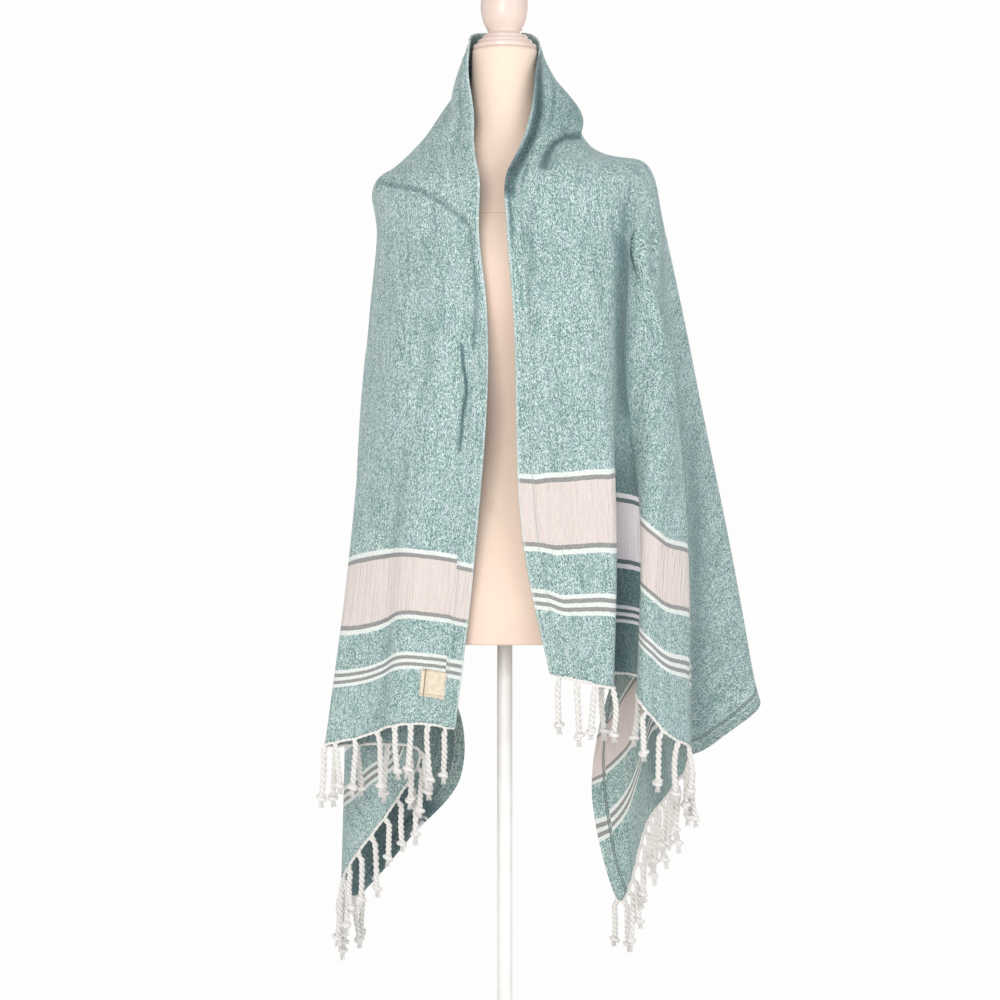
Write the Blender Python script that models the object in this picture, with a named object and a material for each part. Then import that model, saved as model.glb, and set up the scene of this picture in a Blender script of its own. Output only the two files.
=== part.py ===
"""A flat-woven Turkish towel with knotted fringe, worn as a hooded wrap on a limbless dress form.

Metres, +Z up, the front of the form looks along -Y, the origin is the middle of the stand's underside.

The towel is one rectangle of cloth. A point of it has two flat measures: "along", from the left
fringed end, and "across", from the long edge that frames the face. Fall lines run from the rim at
the neck down to the other three edges, and each row of FALLS is one of them.
"""

import math

import bpy
import numpy as np
from mathutils import Vector
from mathutils.bvhtree import BVHTree

# The cloth as it was cut
LENGTH = 1.770
WIDTH = 0.720
WALL = 0.0018
SEAM_GAP = 0.0003
HEM_WIDE = 0.018
HEM_WALL = 0.0010
RIM_START = 0.865
RIM_END = 1.000
ROUND = 2 * WIDTH + LENGTH
BOW_FRONT, BOW_BACK, BOW_FADE = 5.5, 1.3, 0.150

# The sewn label, measured along from the left fringed end
LABEL_ALONG = (0.036, 0.068)
LABEL_WALL = 0.0008
LABEL_INSET = 0.06

# The fringe: a backing strip just off the cloth's edge, and tassels given by share down and width
TASSELS = 27
TASSEL_LONG = 0.070
TASSEL_WIDE = 0.0068
TASSEL_SECTIONS = (
    (0.10, 0.0034), (0.30, 0.0051), (0.52, 0.0054), (0.70, 0.0051),
    (0.76, 0.0120), (0.83, 0.0120), (0.90, 0.0042), (1.00, 0.0058),
)
BACKING_GAP = 0.0007
BACKING_DEEP = 0.004
BEND_ROOM = 0.0005
LED_OUT = 0.008
SWAY, UNEVEN = 0.05, 0.10
DOWN = np.array([0, 0, -1.0])

# The dress form and its stand
CLEARANCE = 0.0023
FORM_BOTTOM = 0.780
NECK_TOP = 1.515
POLE_RADIUS = 0.0095
FOOT_THICK = 0.014
STEM_TOP = 0.052
JOINT_GAP = 0.0003

# Turned pieces. Plates of the neck cap: name, radius, thickness. Others: radius and height, from the
# underside of the piece
PLATE_EDGE = 0.0018
CAP_PLATES = (("cap_lower", 0.0400, 0.0070), ("cap_middle", 0.0345, 0.0062), ("cap_upper", 0.0285, 0.0062))
KNOB = (
    (0.0232, 0.0), (0.0205, 0.004), (0.0225, 0.009), (0.0270, 0.018), (0.0298, 0.030), (0.0300, 0.042),
    (0.0280, 0.056), (0.0235, 0.068), (0.0165, 0.077), (0.0080, 0.082), (0.0015, 0.0832),
)
FOOT = ((0.163, 0), (0.165, 0.002), (0.165, 0.010), (0.159, FOOT_THICK), (0.030, 0.017))
STEM = ((0.024, 0.0173), (0.024, 0.030), (0.019, 0.046), (0.016, STEM_TOP))

# Where the towel is looked at from: x and z in the tables are read on the form's middle plane
EYE_X, EYE_Z, EYE_FAR = -0.006, 0.955, 2.70

# Horizontal sections of the dress form: height, half width, depth in front, depth behind, squareness
# (2 is an oval, more is a rounder square)
FORM_RINGS = (
    (0.780, 0.148, 0.098, 0.112, 2.3),
    (0.840, 0.156, 0.104, 0.118, 2.3),
    (0.900, 0.150, 0.102, 0.112, 2.3),
    (0.970, 0.130, 0.092, 0.094, 2.2),
    (1.040, 0.114, 0.087, 0.082, 2.2),
    (1.120, 0.124, 0.102, 0.086, 2.2),
    (1.200, 0.136, 0.116, 0.092, 2.2),
    (1.270, 0.140, 0.106, 0.096, 2.2),
    (1.310, 0.141, 0.089, 0.092, 2.2),
    (1.342, 0.130, 0.074, 0.082, 2.2),
    (1.366, 0.102, 0.064, 0.072, 2.2),
    (1.388, 0.074, 0.056, 0.063, 2.1),
    (1.410, 0.053, 0.049, 0.054, 2.0),
    (1.445, 0.044, 0.044, 0.047, 2.0),
    (1.480, 0.0415, 0.042, 0.044, 2.0),
    (1.515, 0.0405, 0.041, 0.042, 2.0),
)

# Sections of the cloth over neck and shoulders: height and reach at each side, in millimetres, and
# the share of a fall line's turn that it has made by there
COLLAR_COLUMNS = ("height_left", "height_right", "left", "right", "front", "back", "share")
COLLAR = {
    "rim": (1533, 1520, 43, 44, 42, 50, 0.53),
    "throat": (1492, 1492, 58, 56, 52, 64, 0.76),
    "nape": (1435, 1440, 75, 88, 68, 85, 0.885),
    "fold": (1402, 1400, 104, 102, 86, 100, 0.94),
    "slope": (1379, 1388, 127, 116, 98, 108, 0.97),
    "shoulder": (1350, 1371, 158, 166, 112, 116, 1.0),
    "arm": (1288, 1300, 159, 194, 126, 122, 1.0),
}
CHEST_HEIGHT, THIGH_HEIGHT = 1200, 880

# One row for each fall line, in millimetres: where it ends on the flat cloth, the way it points at
# the shoulder in degrees round from the front by the left, and its place at chest, thigh and hem
FALL_COLUMNS = (
    "along", "across", "turn", "chest_x", "chest_y", "thigh_x", "thigh_y", "hem_x", "hem_y", "hem_z",
)
FALLS = {
    "left_edge": (0, 0, 12, -24, -131, -39, -124, -63, -92, 670),
    "left_panel": (0, 50, 30, -62, -138, -84, -134, -104, -108, 676),
    "left_panel_far": (0, 100, 45, -100, -130, -131, -128, -146, -108, 672),
    "left_dip": (0, 135, 57, -132, -108, -160, -106, -175, -94, 661),
    "left_crest": (0, 190, 70, -156, -72, -191, -78, -223, -84, 650),
    "left_valley": (0, 330, 78, -162, -45, -167, -56, -106, -42, 640),
    "left_shade": (0, 420, 84, -166, -28, -176, -34, -140, -22, 574),
    "left_side": (0, 510, 90, -167, -6, -190, -8, -192, 10, 503),
    "left_corner": (0, 720, 98, -164, 28, -182, 30, -174, 104, 470),
    "left_flap": (110, 720, 107, -152, 58, -160, 68, -118, 122, 535),
    "left_flap_edge": (210, 720, 116, -138, 82, -142, 96, -56, 114, 610),
    "left_flap_top": (300, 720, 124, -124, 98, -134, 118, -62, 132, 700),
    "left_back": (420, 720, 134, -106, 110, -146, 146, -164, 152, 775),
    "back_1": (530, 720, 146, -84, 126, -102, 160, -108, 178, 812),
    "back_2": (640, 720, 160, -50, 114, -60, 134, -60, 146, 828),
    "back_3": (760, 720, 172, -18, 126, -18, 158, -14, 180, 835),
    "back_4": (880, 720, 186, 20, 114, 26, 136, 36, 150, 835),
    "back_5": (990, 720, 200, 60, 124, 76, 156, 92, 178, 825),
    "back_6": (1090, 720, 216, 102, 110, 132, 138, 162, 152, 790),
    "wing_back": (1170, 720, 236, 154, 94, 208, 122, 246, 150, 738),
    "wing_crest": (1250, 720, 256, 214, 50, 286, 74, 319, 104, 700),
    "wing": (1350, 720, 267, 203, 14, 246, 34, 234, 78, 636),
    "wing_turn": (1470, 720, 274, 188, -8, 206, 12, 152, 58, 767),
    "rear_hem_top": (1540, 720, 279, 183, -20, 199, -4, 128, 48, 705),
    "rear_hem": (1650, 720, 284, 178, -30, 193, -17, 110, 48, 590),
    "right_corner": (1770, 720, 289, 173, -40, 190, -30, 139, 62, 461),
    "rear_fringe": (1770, 520, 294, 168, -50, 193, -42, 180, 16, 556),
    "rear_fringe_top": (1770, 370, 299, 166, -60, 208, -58, 211, -40, 598),
    "right_crest": (1770, 250, 303, 161, -74, 228, -84, 231, -84, 647),
    "right_fold_mid": (1770, 205, 309, 147, -94, 198, -112, 202, -112, 664),
    "right_fold": (1770, 162, 314, 128, -106, 168, -118, 170, -116, 703),
    "right_recess": (1770, 128, 319, 112, -112, 150, -104, 153, -100, 735),
    "right_main_crest": (1770, 95, 325, 98, -126, 138, -132, 140, -130, 722),
    "right_panel": (1770, 48, 341, 54, -137, 82, -138, 98, -134, 729),
    "right_edge": (1770, 0, 359, 11, -131, 27, -130, 57, -122, 738),
}

# Soft ridges (lift above 0) and troughs (below 0), in millimetres on the flat cloth: start, end,
# half width and lift in the middle. The deep ones have steep sides
CREASE_COLUMNS = ("along_1", "across_1", "along_2", "across_2", "wide", "lift")
DEEP, DEEP_POWER, SOFT_POWER = 15, 4, 2
CREASES = {
    "right_recess": (1262, 174, 1990, 106, 20, -28),
    "hood_strip_right": (960, 33, 1235, 33, 13, -8),
    "left_dip": (330, 116, -80, 112, 13, -5),
    "left_shoulder": (664, 112, 580, 20, 12, -7),
    "left_shoulder_swell": (700, 150, 640, 66, 22, 5),
    "hood_bulge_right": (1066, 116, 1112, 74, 24, 9),
    "hood_dent_right": (1168, 30, 1126, 122, 12, -8),
    "hood_swell_left": (806, 96, 748, 60, 24, 5),
    "hood_back": (880, 96, 985, 100, 24, 8),
    "hood_back_dent": (850, 140, 1022, 146, 18, -6),
}

MATERIALS = {
    "towel": ((0.27, 0.44, 0.42), 0.92, 0.0),
    "fringe": ((0.88, 0.85, 0.81), 0.90, 0.0),
    "label": ((0.80, 0.74, 0.60), 0.85, 0.0),
    "jersey": ((0.90, 0.76, 0.66), 0.80, 0.0),
    "painted_wood": ((0.88, 0.82, 0.77), 0.45, 0.0),
    "painted_metal": ((0.86, 0.86, 0.85), 0.40, 0.0),
}


def clear_scene():
    for obj in list(bpy.data.objects):
        bpy.data.objects.remove(obj, do_unlink=True)


def material(slot):
    found = bpy.data.materials.get(slot)
    if found:
        return found
    colour, roughness, metallic = MATERIALS[slot]
    made = bpy.data.materials.new(slot)
    made.use_nodes = True
    shader = made.node_tree.nodes["Principled BSDF"]
    shader.inputs["Base Color"].default_value = (*colour, 1.0)
    shader.inputs["Roughness"].default_value = roughness
    shader.inputs["Metallic"].default_value = metallic
    return made


def add_object(name, points, faces, slot):
    """One named object from its points and faces, shaded smooth."""
    mesh = bpy.data.meshes.new(name)
    mesh.from_pydata([tuple(map(float, p)) for p in points], [], [tuple(map(int, f)) for f in faces])
    mesh.materials.append(material(slot))
    mesh.shade_smooth()
    mesh.set_sharp_from_angle(angle=math.radians(50))
    obj = bpy.data.objects.new(name, mesh)
    bpy.context.scene.collection.objects.link(obj)
    return obj


def smooth_through(knots, values, at):
    """Cubic curve through the values at their knots, its slope at each knot weighed by both sides."""
    knots, at = np.asarray(knots, float), np.asarray(at, float)
    steps = np.diff(knots)
    rises = np.diff(values, axis=0) / steps.reshape(-1, *[1] * (values.ndim - 1))
    slopes = np.empty_like(values)
    slopes[0], slopes[-1] = rises[0], rises[-1]
    before = steps[1:].reshape(-1, *[1] * (values.ndim - 1))
    after = steps[:-1].reshape(-1, *[1] * (values.ndim - 1))
    slopes[1:-1] = (rises[:-1] * before + rises[1:] * after) / (before + after)
    cell = np.clip(np.searchsorted(knots, at, side="right") - 1, 0, len(steps) - 1)
    shape = (-1, *[1] * (values.ndim - 1))
    step = steps[cell].reshape(shape)
    s = ((at - knots[cell]) / steps[cell]).reshape(shape)
    return (
        values[cell] * (1 + 2 * s) * (1 - s) ** 2
        + slopes[cell] * step * s * (1 - s) ** 2
        + values[cell + 1] * s**2 * (3 - 2 * s)
        + slopes[cell + 1] * step * s**2 * (s - 1)
    )


def from_view(seen):
    """Real places of points whose x and z were read on the form's middle plane and whose y is known."""
    seen = np.asarray(seen, float)
    nearer = (EYE_FAR + seen[..., 1]) / EYE_FAR
    real = seen.copy()
    real[..., 0] = EYE_X + (seen[..., 0] - EYE_X) * nearer
    real[..., 2] = EYE_Z + (seen[..., 2] - EYE_Z) * nearer
    return real


def collar_point(section, turn):
    """The point of a collar section in the direction of a fall line's turn."""
    row = dict(zip(COLLAR_COLUMNS, COLLAR[section]))
    angle = math.radians(180 + (turn - 180) * row["share"])
    side = math.sin(angle)
    reach_x = row["left"] if side > 0 else row["right"]
    reach_y = row["front"] if math.cos(angle) > 0 else row["back"]
    height = (row["height_left"] + row["height_right"]) / 2
    height += (row["height_left"] - row["height_right"]) / 2 * side
    return (-reach_x * side, -reach_y * math.cos(angle), height)


def fall_stations():
    """The points that each fall line passes through, from the rim to its hem, in metres."""
    lines = []
    for values in FALLS.values():
        row = dict(zip(FALL_COLUMNS, values))
        points = [collar_point(section, row["turn"]) for section in COLLAR]
        points.append((row["chest_x"], row["chest_y"], CHEST_HEIGHT))
        points.append((row["thigh_x"], row["thigh_y"], THIGH_HEIGHT))
        points.append((row["hem_x"], row["hem_y"], row["hem_z"]))
        lines.append(from_view(np.array(points) / 1000))
    return np.array(lines)


def round_the_edge(along, across):
    """Distance round the free edges, from the left front corner to the right front corner."""
    along, across = np.asarray(along, float), np.asarray(across, float)
    left, right = along <= 0, along >= LENGTH
    return np.where(left, across, np.where(right, WIDTH + LENGTH + (WIDTH - across), WIDTH + along))


def edge_end(distance):
    """Flat measures of the point at a distance round the free edges."""
    along = np.clip(distance - WIDTH, 0, LENGTH)
    across = np.minimum(distance, ROUND - distance)
    return along, np.clip(across, 0, WIDTH)


class Drape:
    """The hung cloth as a surface over distance round the edge and share of the way down a fall line."""

    edge_samples, fall_samples = 720, 240

    def __init__(self):
        flat = np.array([values[:2] for values in FALLS.values()], float) / 1000
        knots = round_the_edge(flat[:, 0], flat[:, 1])
        down = np.linspace(0, 1, self.fall_samples)
        lines = []
        for stations in fall_stations():
            steps = np.linalg.norm(np.diff(stations, axis=0), axis=1)
            reached = np.concatenate([[0], np.cumsum(steps)]) / steps.sum()
            lines.append(smooth_through(reached, stations, down))
        self.edge = np.linspace(0, ROUND, self.edge_samples)
        self.table = smooth_through(knots, np.array(lines), self.edge)

    def find(self, along, across):
        """Distance round the edge and share down the fall line that passes through a flat point.

        On the flat cloth a fall line starts at the rim and bows towards its own end: across is its
        end's measure times 1 - (1 - share) ** bow, and along runs evenly. The front ones bow most.
        """
        across = np.maximum(across, 1e-5)
        low, high = np.zeros_like(along), np.full_like(along, ROUND)
        for _ in range(60):
            middle = (low + high) / 2
            line_along, share, short = self.fall_line(middle, across)
            further = np.where(short, middle < ROUND / 2, line_along < along)
            low, high = np.where(further, middle, low), np.where(further, high, middle)
        edge = (low + high) / 2
        share = self.fall_line(edge, across)[1]
        free = (along <= 0) | (along >= LENGTH) | (across >= WIDTH)
        edge = np.where(free, round_the_edge(along, across), edge)
        return edge, np.where(free, 1.0, share)

    def fall_line(self, edge, across):
        """Where a fall line reaches an across measure: its along measure, its share, and if it is too short."""
        start = RIM_START + (RIM_END - RIM_START) * edge / ROUND
        end_along, end_across = edge_end(edge)
        bow = BOW_BACK + (BOW_FRONT - BOW_BACK) * np.exp(-np.minimum(edge, ROUND - edge) / BOW_FADE)
        reach = np.minimum(across / np.maximum(end_across, 1e-9), 1)
        share = 1 - (1 - reach) ** (1 / bow)
        return start + (end_along - start) * share, share, across > end_across

    def at(self, along, across):
        """Places of flat points, read between the four nearest samples of the surface."""
        edge, down = self.find(along, across)
        i = edge / ROUND * (self.edge_samples - 1)
        j = down * (self.fall_samples - 1)
        i0 = np.clip(np.floor(i).astype(int), 0, self.edge_samples - 2)
        j0 = np.clip(np.floor(j).astype(int), 0, self.fall_samples - 2)
        a, b = (i - i0)[..., None], (j - j0)[..., None]
        table = self.table
        return (
            (table[i0, j0] * (1 - b) + table[i0, j0 + 1] * b) * (1 - a)
            + (table[i0 + 1, j0] * (1 - b) + table[i0 + 1, j0 + 1] * b) * a
        )


def grid_normals(grid):
    """Unit normals of a grid of points, facing out of the wrap."""
    across = np.gradient(grid, axis=1)
    along = np.gradient(grid, axis=0)
    normals = np.cross(along, across)
    return normals / np.linalg.norm(normals, axis=-1, keepdims=True)


def creased(grid, along, across):
    """Lifts the surface along its normals by each crease: a soft hump over the distance to its line."""
    lift = np.zeros_like(along)
    for values in CREASES.values():
        row = dict(zip(CREASE_COLUMNS, np.array(values) / 1000))
        run = np.array([row["along_2"] - row["along_1"], row["across_2"] - row["across_1"]])
        offset_along, offset_across = along - row["along_1"], across - row["across_1"]
        share = (offset_along * run[0] + offset_across * run[1]) / (run @ run)
        near = np.clip(share, 0, 1)
        far = np.hypot(offset_along - near * run[0], offset_across - near * run[1])
        fade = np.sin(math.pi * np.clip(0.15 + 0.7 * share, 0, 1)) ** 0.5
        power = DEEP_POWER if abs(row["lift"]) * 1000 > DEEP else SOFT_POWER
        lift += row["lift"] * fade * np.exp(-((far / row["wide"]) ** power))
    return grid + grid_normals(grid) * lift[..., None]


def push_clear(grid, form, clearance):
    """Moves points that lie in the form, or nearer to it than the clearance, straight out of it."""
    moved = grid.reshape(-1, 3).copy()
    for index, point in enumerate(moved):
        near, normal, _, distance = form.find_nearest(Vector(point))
        outside = (Vector(point) - near).dot(normal) > 0
        if not outside or distance < clearance:
            moved[index] = near + normal * clearance
    return moved.reshape(grid.shape)


def eased(grid, rounds, share):
    """The grid with each inner point drawn towards the middle of its four neighbours."""
    soft = grid.copy()
    for _ in range(rounds):
        middle = (soft[:-2, 1:-1] + soft[2:, 1:-1] + soft[1:-1, :-2] + soft[1:-1, 2:]) / 4
        soft[1:-1, 1:-1] += share * (middle - soft[1:-1, 1:-1])
    return soft


def wall_between(outer, inner):
    """Points and triangles of a closed wall between two grids of the same size."""
    rows, columns = outer.shape[:2]
    count = rows * columns
    index = np.arange(count).reshape(rows, columns)
    a, b = index[:-1, :-1].ravel(), index[1:, :-1].ravel()
    c, d = index[1:, 1:].ravel(), index[:-1, 1:].ravel()
    faces = [np.stack([a, d, c], 1), np.stack([a, c, b], 1)]
    faces += [np.stack([a, c, d], 1) + count, np.stack([a, b, c], 1) + count]
    loop = np.concatenate([index[:-1, 0], index[-1, :-1], index[:0:-1, -1], index[0, :0:-1]])
    after = np.roll(loop, -1)
    faces += [np.stack([loop, after, after + count], 1), np.stack([loop, after + count, loop + count], 1)]
    points = np.concatenate([outer.reshape(-1, 3), inner.reshape(-1, 3)])
    return points, np.concatenate(faces)


def along_lines():
    """Flat measures along the towel where its grid has a line, finer by the fringed ends."""
    ends = np.array([0, 0.016, *LABEL_ALONG, 0.098, 0.128, 0.158])
    middle = np.linspace(0.185, LENGTH - 0.185, 52)
    return np.concatenate([ends, middle, (LENGTH - ends)[::-1]])


def across_lines():
    """Flat measures across the towel where its grid has a line, finer where the front folds lie."""
    front = np.array([0, HEM_WIDE, 0.034, 0.052, 0.073, 0.095, 0.112, 0.128, 0.145, 0.164, 0.186, 0.208, 0.230])
    back = np.linspace(0.255, WIDTH - HEM_WIDE, 15)
    return np.concatenate([front, back, [WIDTH]])


def ring_points(height, half_width, front, back, square, sides):
    """One section of the form: a rounded oval, deeper or shallower in front than behind."""
    angle = np.linspace(0, 2 * math.pi, sides, endpoint=False)
    x = half_width * np.sign(np.cos(angle)) * np.abs(np.cos(angle)) ** (2 / square)
    reach = np.where(np.sin(angle) < 0, front, back)
    y = reach * np.sign(np.sin(angle)) * np.abs(np.sin(angle)) ** (2 / square)
    return np.stack([x, y, np.full(sides, height)], axis=1)


def lofted(rings):
    """Points and faces of a closed body through rings of the same number of points, bottom ring first."""
    rows, sides = len(rings), len(rings[0])
    points = np.concatenate(rings)
    here = np.arange(sides)
    after = (here + 1) % sides
    faces = [tuple(reversed(range(sides)))]
    for row in range(rows - 1):
        low, high = row * sides, (row + 1) * sides
        faces += list(zip(low + here, low + after, high + after, high + here))
    faces.append(tuple(range((rows - 1) * sides, rows * sides)))
    return points, faces


def make_form():
    """Torso and neck, through the form's sections with smooth ones between them."""
    sections = np.array(FORM_RINGS)
    heights = np.concatenate([
        np.linspace(FORM_BOTTOM, 1.27, 12), np.linspace(1.295, 1.40, 9), np.linspace(1.42, NECK_TOP, 5),
    ])
    values = smooth_through(sections[:, 0], sections, heights)
    rings = [ring_points(h, *row[1:], sides=40) for h, row in zip(heights, values)]
    return add_object("form_torso", *lofted(rings), "jersey")


def turned(name, profile, slot, sides=32):
    """A turned piece from its profile, radius and height from the bottom up."""
    angle = np.linspace(0, 2 * math.pi, sides, endpoint=False)
    circle = np.stack([np.cos(angle), np.sin(angle)], axis=1)
    rings = [np.column_stack([circle * radius, np.full(sides, height)]) for radius, height in profile]
    return add_object(name, *lofted(rings), slot)


def make_cap_and_finial():
    """Stepped neck cap of three plates and the knob above it, each resting on the one below."""
    height = NECK_TOP
    for name, radius, thick in CAP_PLATES:
        low, high = height + JOINT_GAP, height + thick
        turned(name, (
            (radius - PLATE_EDGE, low), (radius, low + PLATE_EDGE),
            (radius, high - PLATE_EDGE), (radius - PLATE_EDGE, high),
        ), "painted_wood")
        height = high
    turned("finial", [(radius, height + JOINT_GAP + up) for radius, up in KNOB], "painted_wood")


def make_stand():
    """Slim pole under the torso and the round foot it stands on."""
    turned("stand_foot", FOOT, "painted_metal", sides=48)
    turned("stand_collar", STEM, "painted_metal", sides=28)
    pole = ((POLE_RADIUS, STEM_TOP + JOINT_GAP), (POLE_RADIUS, FORM_BOTTOM - JOINT_GAP))
    turned("stand_pole", pole, "painted_metal", sides=24)


def form_tree(form):
    form.data.calc_loop_triangles()
    points = [vertex.co.copy() for vertex in form.data.vertices]
    return BVHTree.FromPolygons(points, [tuple(t.vertices) for t in form.data.loop_triangles])


def make_cloth(form):
    """The towel's wall, its two long hems and the label, all from one grid of the drape."""
    along, across = along_lines(), across_lines()
    flat_along, flat_across = np.meshgrid(along, across, indexing="ij")
    grid = Drape().at(flat_along, flat_across)
    for _ in range(2):
        grid = push_clear(eased(grid, 1, 0.35), form, CLEARANCE)
    grid = creased(grid, flat_along, flat_across)
    grid = push_clear(eased(grid, 1, 0.1), form, CLEARANCE)
    normals = grid_normals(grid)
    half = WALL / 2
    add_object("towel_cloth", *wall_between(grid + normals * half, grid - normals * half), "towel")

    near = half + SEAM_GAP
    hem = slice(0, 2)
    outer, inner = grid + normals * (near + HEM_WALL), grid + normals * near
    add_object("front_hem", *wall_between(outer[:, hem], inner[:, hem]), "towel")
    hem = slice(len(across) - 2, len(across))
    outer, inner = grid - normals * near, grid - normals * (near + HEM_WALL)
    add_object("lower_hem", *wall_between(outer[:, hem], inner[:, hem]), "towel")

    first, last = (int(np.argmin(np.abs(along - edge))) for edge in LABEL_ALONG)
    patch = []
    for lift in (near + LABEL_WALL, near):
        layer = (grid + normals * lift)[first:last + 1, 1:4]
        layer[:, 0] += (layer[:, 1] - layer[:, 0]) * LABEL_INSET
        patch.append(layer)
    add_object("label", *wall_between(*patch), "label")
    return grid, normals, across


def fringe_stops(across):
    """Measures along a fringed end where its strip has a corner, and which of them start a tassel.

    The strip bends where the cloth's grid does, so a tassel that would sit on a bend moves beside it.
    """
    middles = (np.arange(TASSELS) + 0.5) / TASSELS * WIDTH
    bends = across[np.argmin(np.abs(middles[:, None] - across), axis=1)]
    room = TASSEL_WIDE / 2 + BEND_ROOM
    near = np.abs(middles - bends) < room
    middles = np.where(near, bends + np.where(middles < bends, -room, room), middles)
    starts, ends = middles - TASSEL_WIDE / 2, middles + TASSEL_WIDE / 2
    stops = np.sort(np.concatenate([[BEND_ROOM], starts, ends, across[1:-1], [WIDTH - BEND_ROOM]]))
    return stops, np.isin(stops, starts)


def tassel_rings(start, out, face, way_on, number):
    """Rings of four points down one tassel: led out of the cloth's edge, then hanging with a small sway."""
    sway = np.array([math.sin(number * 2.3), math.cos(number * 1.7), 0]) * SWAY
    long = TASSEL_LONG * (1 + UNEVEN * math.sin(number * 1.9))
    aside = np.cross(face, DOWN)
    aside *= math.copysign(1, aside @ way_on) / np.linalg.norm(aside)
    level = face * (1, 1, 0)
    level /= np.linalg.norm(level)
    rings = []
    for share, wide in TASSEL_SECTIONS:
        led = min(long * share, LED_OUT)
        centre = start + (out * 0.8 + DOWN * 0.4) * led + (DOWN + sway) * (long * share - led)
        a, b = aside * wide / 2, level * wide / 2
        rings.append([centre - a + b, centre + a + b, centre + a - b, centre - a - b])
    return rings


def fringe(name, edge, outward, normals, across):
    """A narrow backing strip by a fringed end with its tassels, as one closed body.

    The strip is a tube of four corners along the edge. Where a tassel hangs, the strip's lower side
    is open and the tassel's rings carry on from its four corners, down to a knot and a short end.
    """
    stops, hung = fringe_stops(across)

    def along_edge(values):
        return np.stack([np.interp(stops, across, values[:, k]) for k in range(3)], axis=1)

    root, raw_out, face = along_edge(edge), along_edge(outward), along_edge(normals)
    face /= np.linalg.norm(face, axis=1, keepdims=True)
    out = np.cross(face, np.gradient(root, axis=0))
    out *= np.sign(np.sum(out * raw_out, axis=1, keepdims=True))
    out /= np.linalg.norm(out, axis=1, keepdims=True)
    top, bottom, half = root + out * BACKING_GAP, root + out * (BACKING_GAP + BACKING_DEEP), WALL / 2
    corners = np.stack([top + face * half, bottom + face * half, bottom - face * half, top - face * half], 1)
    points = list(corners.reshape(-1, 3))
    last = (len(stops) - 1) * 4
    faces = [(3, 2, 1, 0), (last, last + 1, last + 2, last + 3)]
    for stop in range(len(stops) - 1):
        here, there = stop * 4, stop * 4 + 4
        for side in range(4):
            after = (side + 1) % 4
            if side == 1 and hung[stop]:
                continue
            faces.append((here + side, here + after, there + after, there + side))

    for number, stop in enumerate(np.nonzero(hung)[0]):
        here, there = stop * 4, stop * 4 + 4
        ring = [here + 1, there + 1, there + 2, here + 2]
        start = np.mean([points[corner] for corner in ring], axis=0)
        way_on = points[there + 1] - points[here + 1]
        for section in tassel_rings(start, out[stop], face[stop], way_on, number):
            fresh = [len(points) + corner for corner in range(4)]
            points += section
            for side in range(4):
                after = (side + 1) % 4
                faces.append((ring[side], fresh[side], fresh[after], ring[after]))
            ring = fresh
        faces.append(tuple(reversed(ring)))
    return add_object(name, points, faces, "fringe")


def face_outward(obj):
    """Turns the whole closed body the other way round when its faces point in."""
    mesh = obj.data
    mesh.calc_loop_triangles()
    volume = 0.0
    for triangle in mesh.loop_triangles:
        a, b, c = (mesh.vertices[k].co for k in triangle.vertices)
        volume += a.dot(b.cross(c))
    if volume < 0:
        mesh.flip_normals()


def main():
    clear_scene()
    form = make_form()
    make_cap_and_finial()
    make_stand()
    tree = form_tree(form)
    grid, normals, across = make_cloth(tree)
    left_out, right_out = grid[0] - grid[1], grid[-1] - grid[-2]
    fringe("fringe_left", grid[0], left_out, normals[0], across)
    fringe("fringe_right", grid[-1], right_out, normals[-1], across)
    for obj in bpy.data.objects:
        face_outward(obj)


main()
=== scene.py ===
"""Visual model of a flat-woven Turkish towel worn as a hooded wrap on a limbless dress form.

The towel is one rectangle of cloth hung along fall lines, as in the solids, but on a finer grid with
softer creases. A point of it has two flat measures in metres: along, from the left fringed end, and
across, from the long edge that frames the face. They are also the cloth's UV, so stripes and weave
follow every fold.
"""

import math

import bpy
import numpy as np
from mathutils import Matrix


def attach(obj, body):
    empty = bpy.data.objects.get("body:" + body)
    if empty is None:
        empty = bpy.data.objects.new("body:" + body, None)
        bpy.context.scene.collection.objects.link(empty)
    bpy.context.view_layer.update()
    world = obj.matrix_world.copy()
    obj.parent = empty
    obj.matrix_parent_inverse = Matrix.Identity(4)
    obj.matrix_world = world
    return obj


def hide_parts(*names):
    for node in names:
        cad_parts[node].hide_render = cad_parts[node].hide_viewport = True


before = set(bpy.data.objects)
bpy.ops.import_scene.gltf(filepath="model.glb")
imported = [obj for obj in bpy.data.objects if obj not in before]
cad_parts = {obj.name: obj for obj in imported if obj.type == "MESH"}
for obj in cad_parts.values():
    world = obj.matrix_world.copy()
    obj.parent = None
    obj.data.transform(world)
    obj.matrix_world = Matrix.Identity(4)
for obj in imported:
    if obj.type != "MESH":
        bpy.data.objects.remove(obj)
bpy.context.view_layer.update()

# The cloth as it was cut, in metres, and the way round its three free edges
LENGTH, WIDTH = 1.770, 0.720
ROUND = 2 * WIDTH + LENGTH
# Fall lines start between two measures along the front edge, where the hood's rim is, and bow on the
# flat cloth: much by the fronts and little behind, fading over a distance round the edge. Where one
# runs further along than STEEP_RUN, a point's place on it is read from its along measure
RIM_START, RIM_END = 0.865, 1.000
BOW_FRONT, BOW_BACK, BOW_FADE = 5.5, 1.3, 0.150
STEEP_RUN = 0.3
SEARCH_ROUNDS, SPACING_ROUNDS = 48, 6
# Spans of the grid: where each starts and how many steps it has, finer where creases crowd
ALONG_SPANS = ((0, 84), (0.500, 56), (0.710, 64), (1.060, 54), (1.270, 92))
ACROSS_SPANS = ((0, 84), (0.250, 56))
WALL = 0.0013
# Painted shade on the inner face, by two measures along: deep beside the left front, almost none from
# the hood on
INNER_DARK_AT, INNER_DARK = (0.5, 1.3), (0.36, 0.02)
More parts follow.
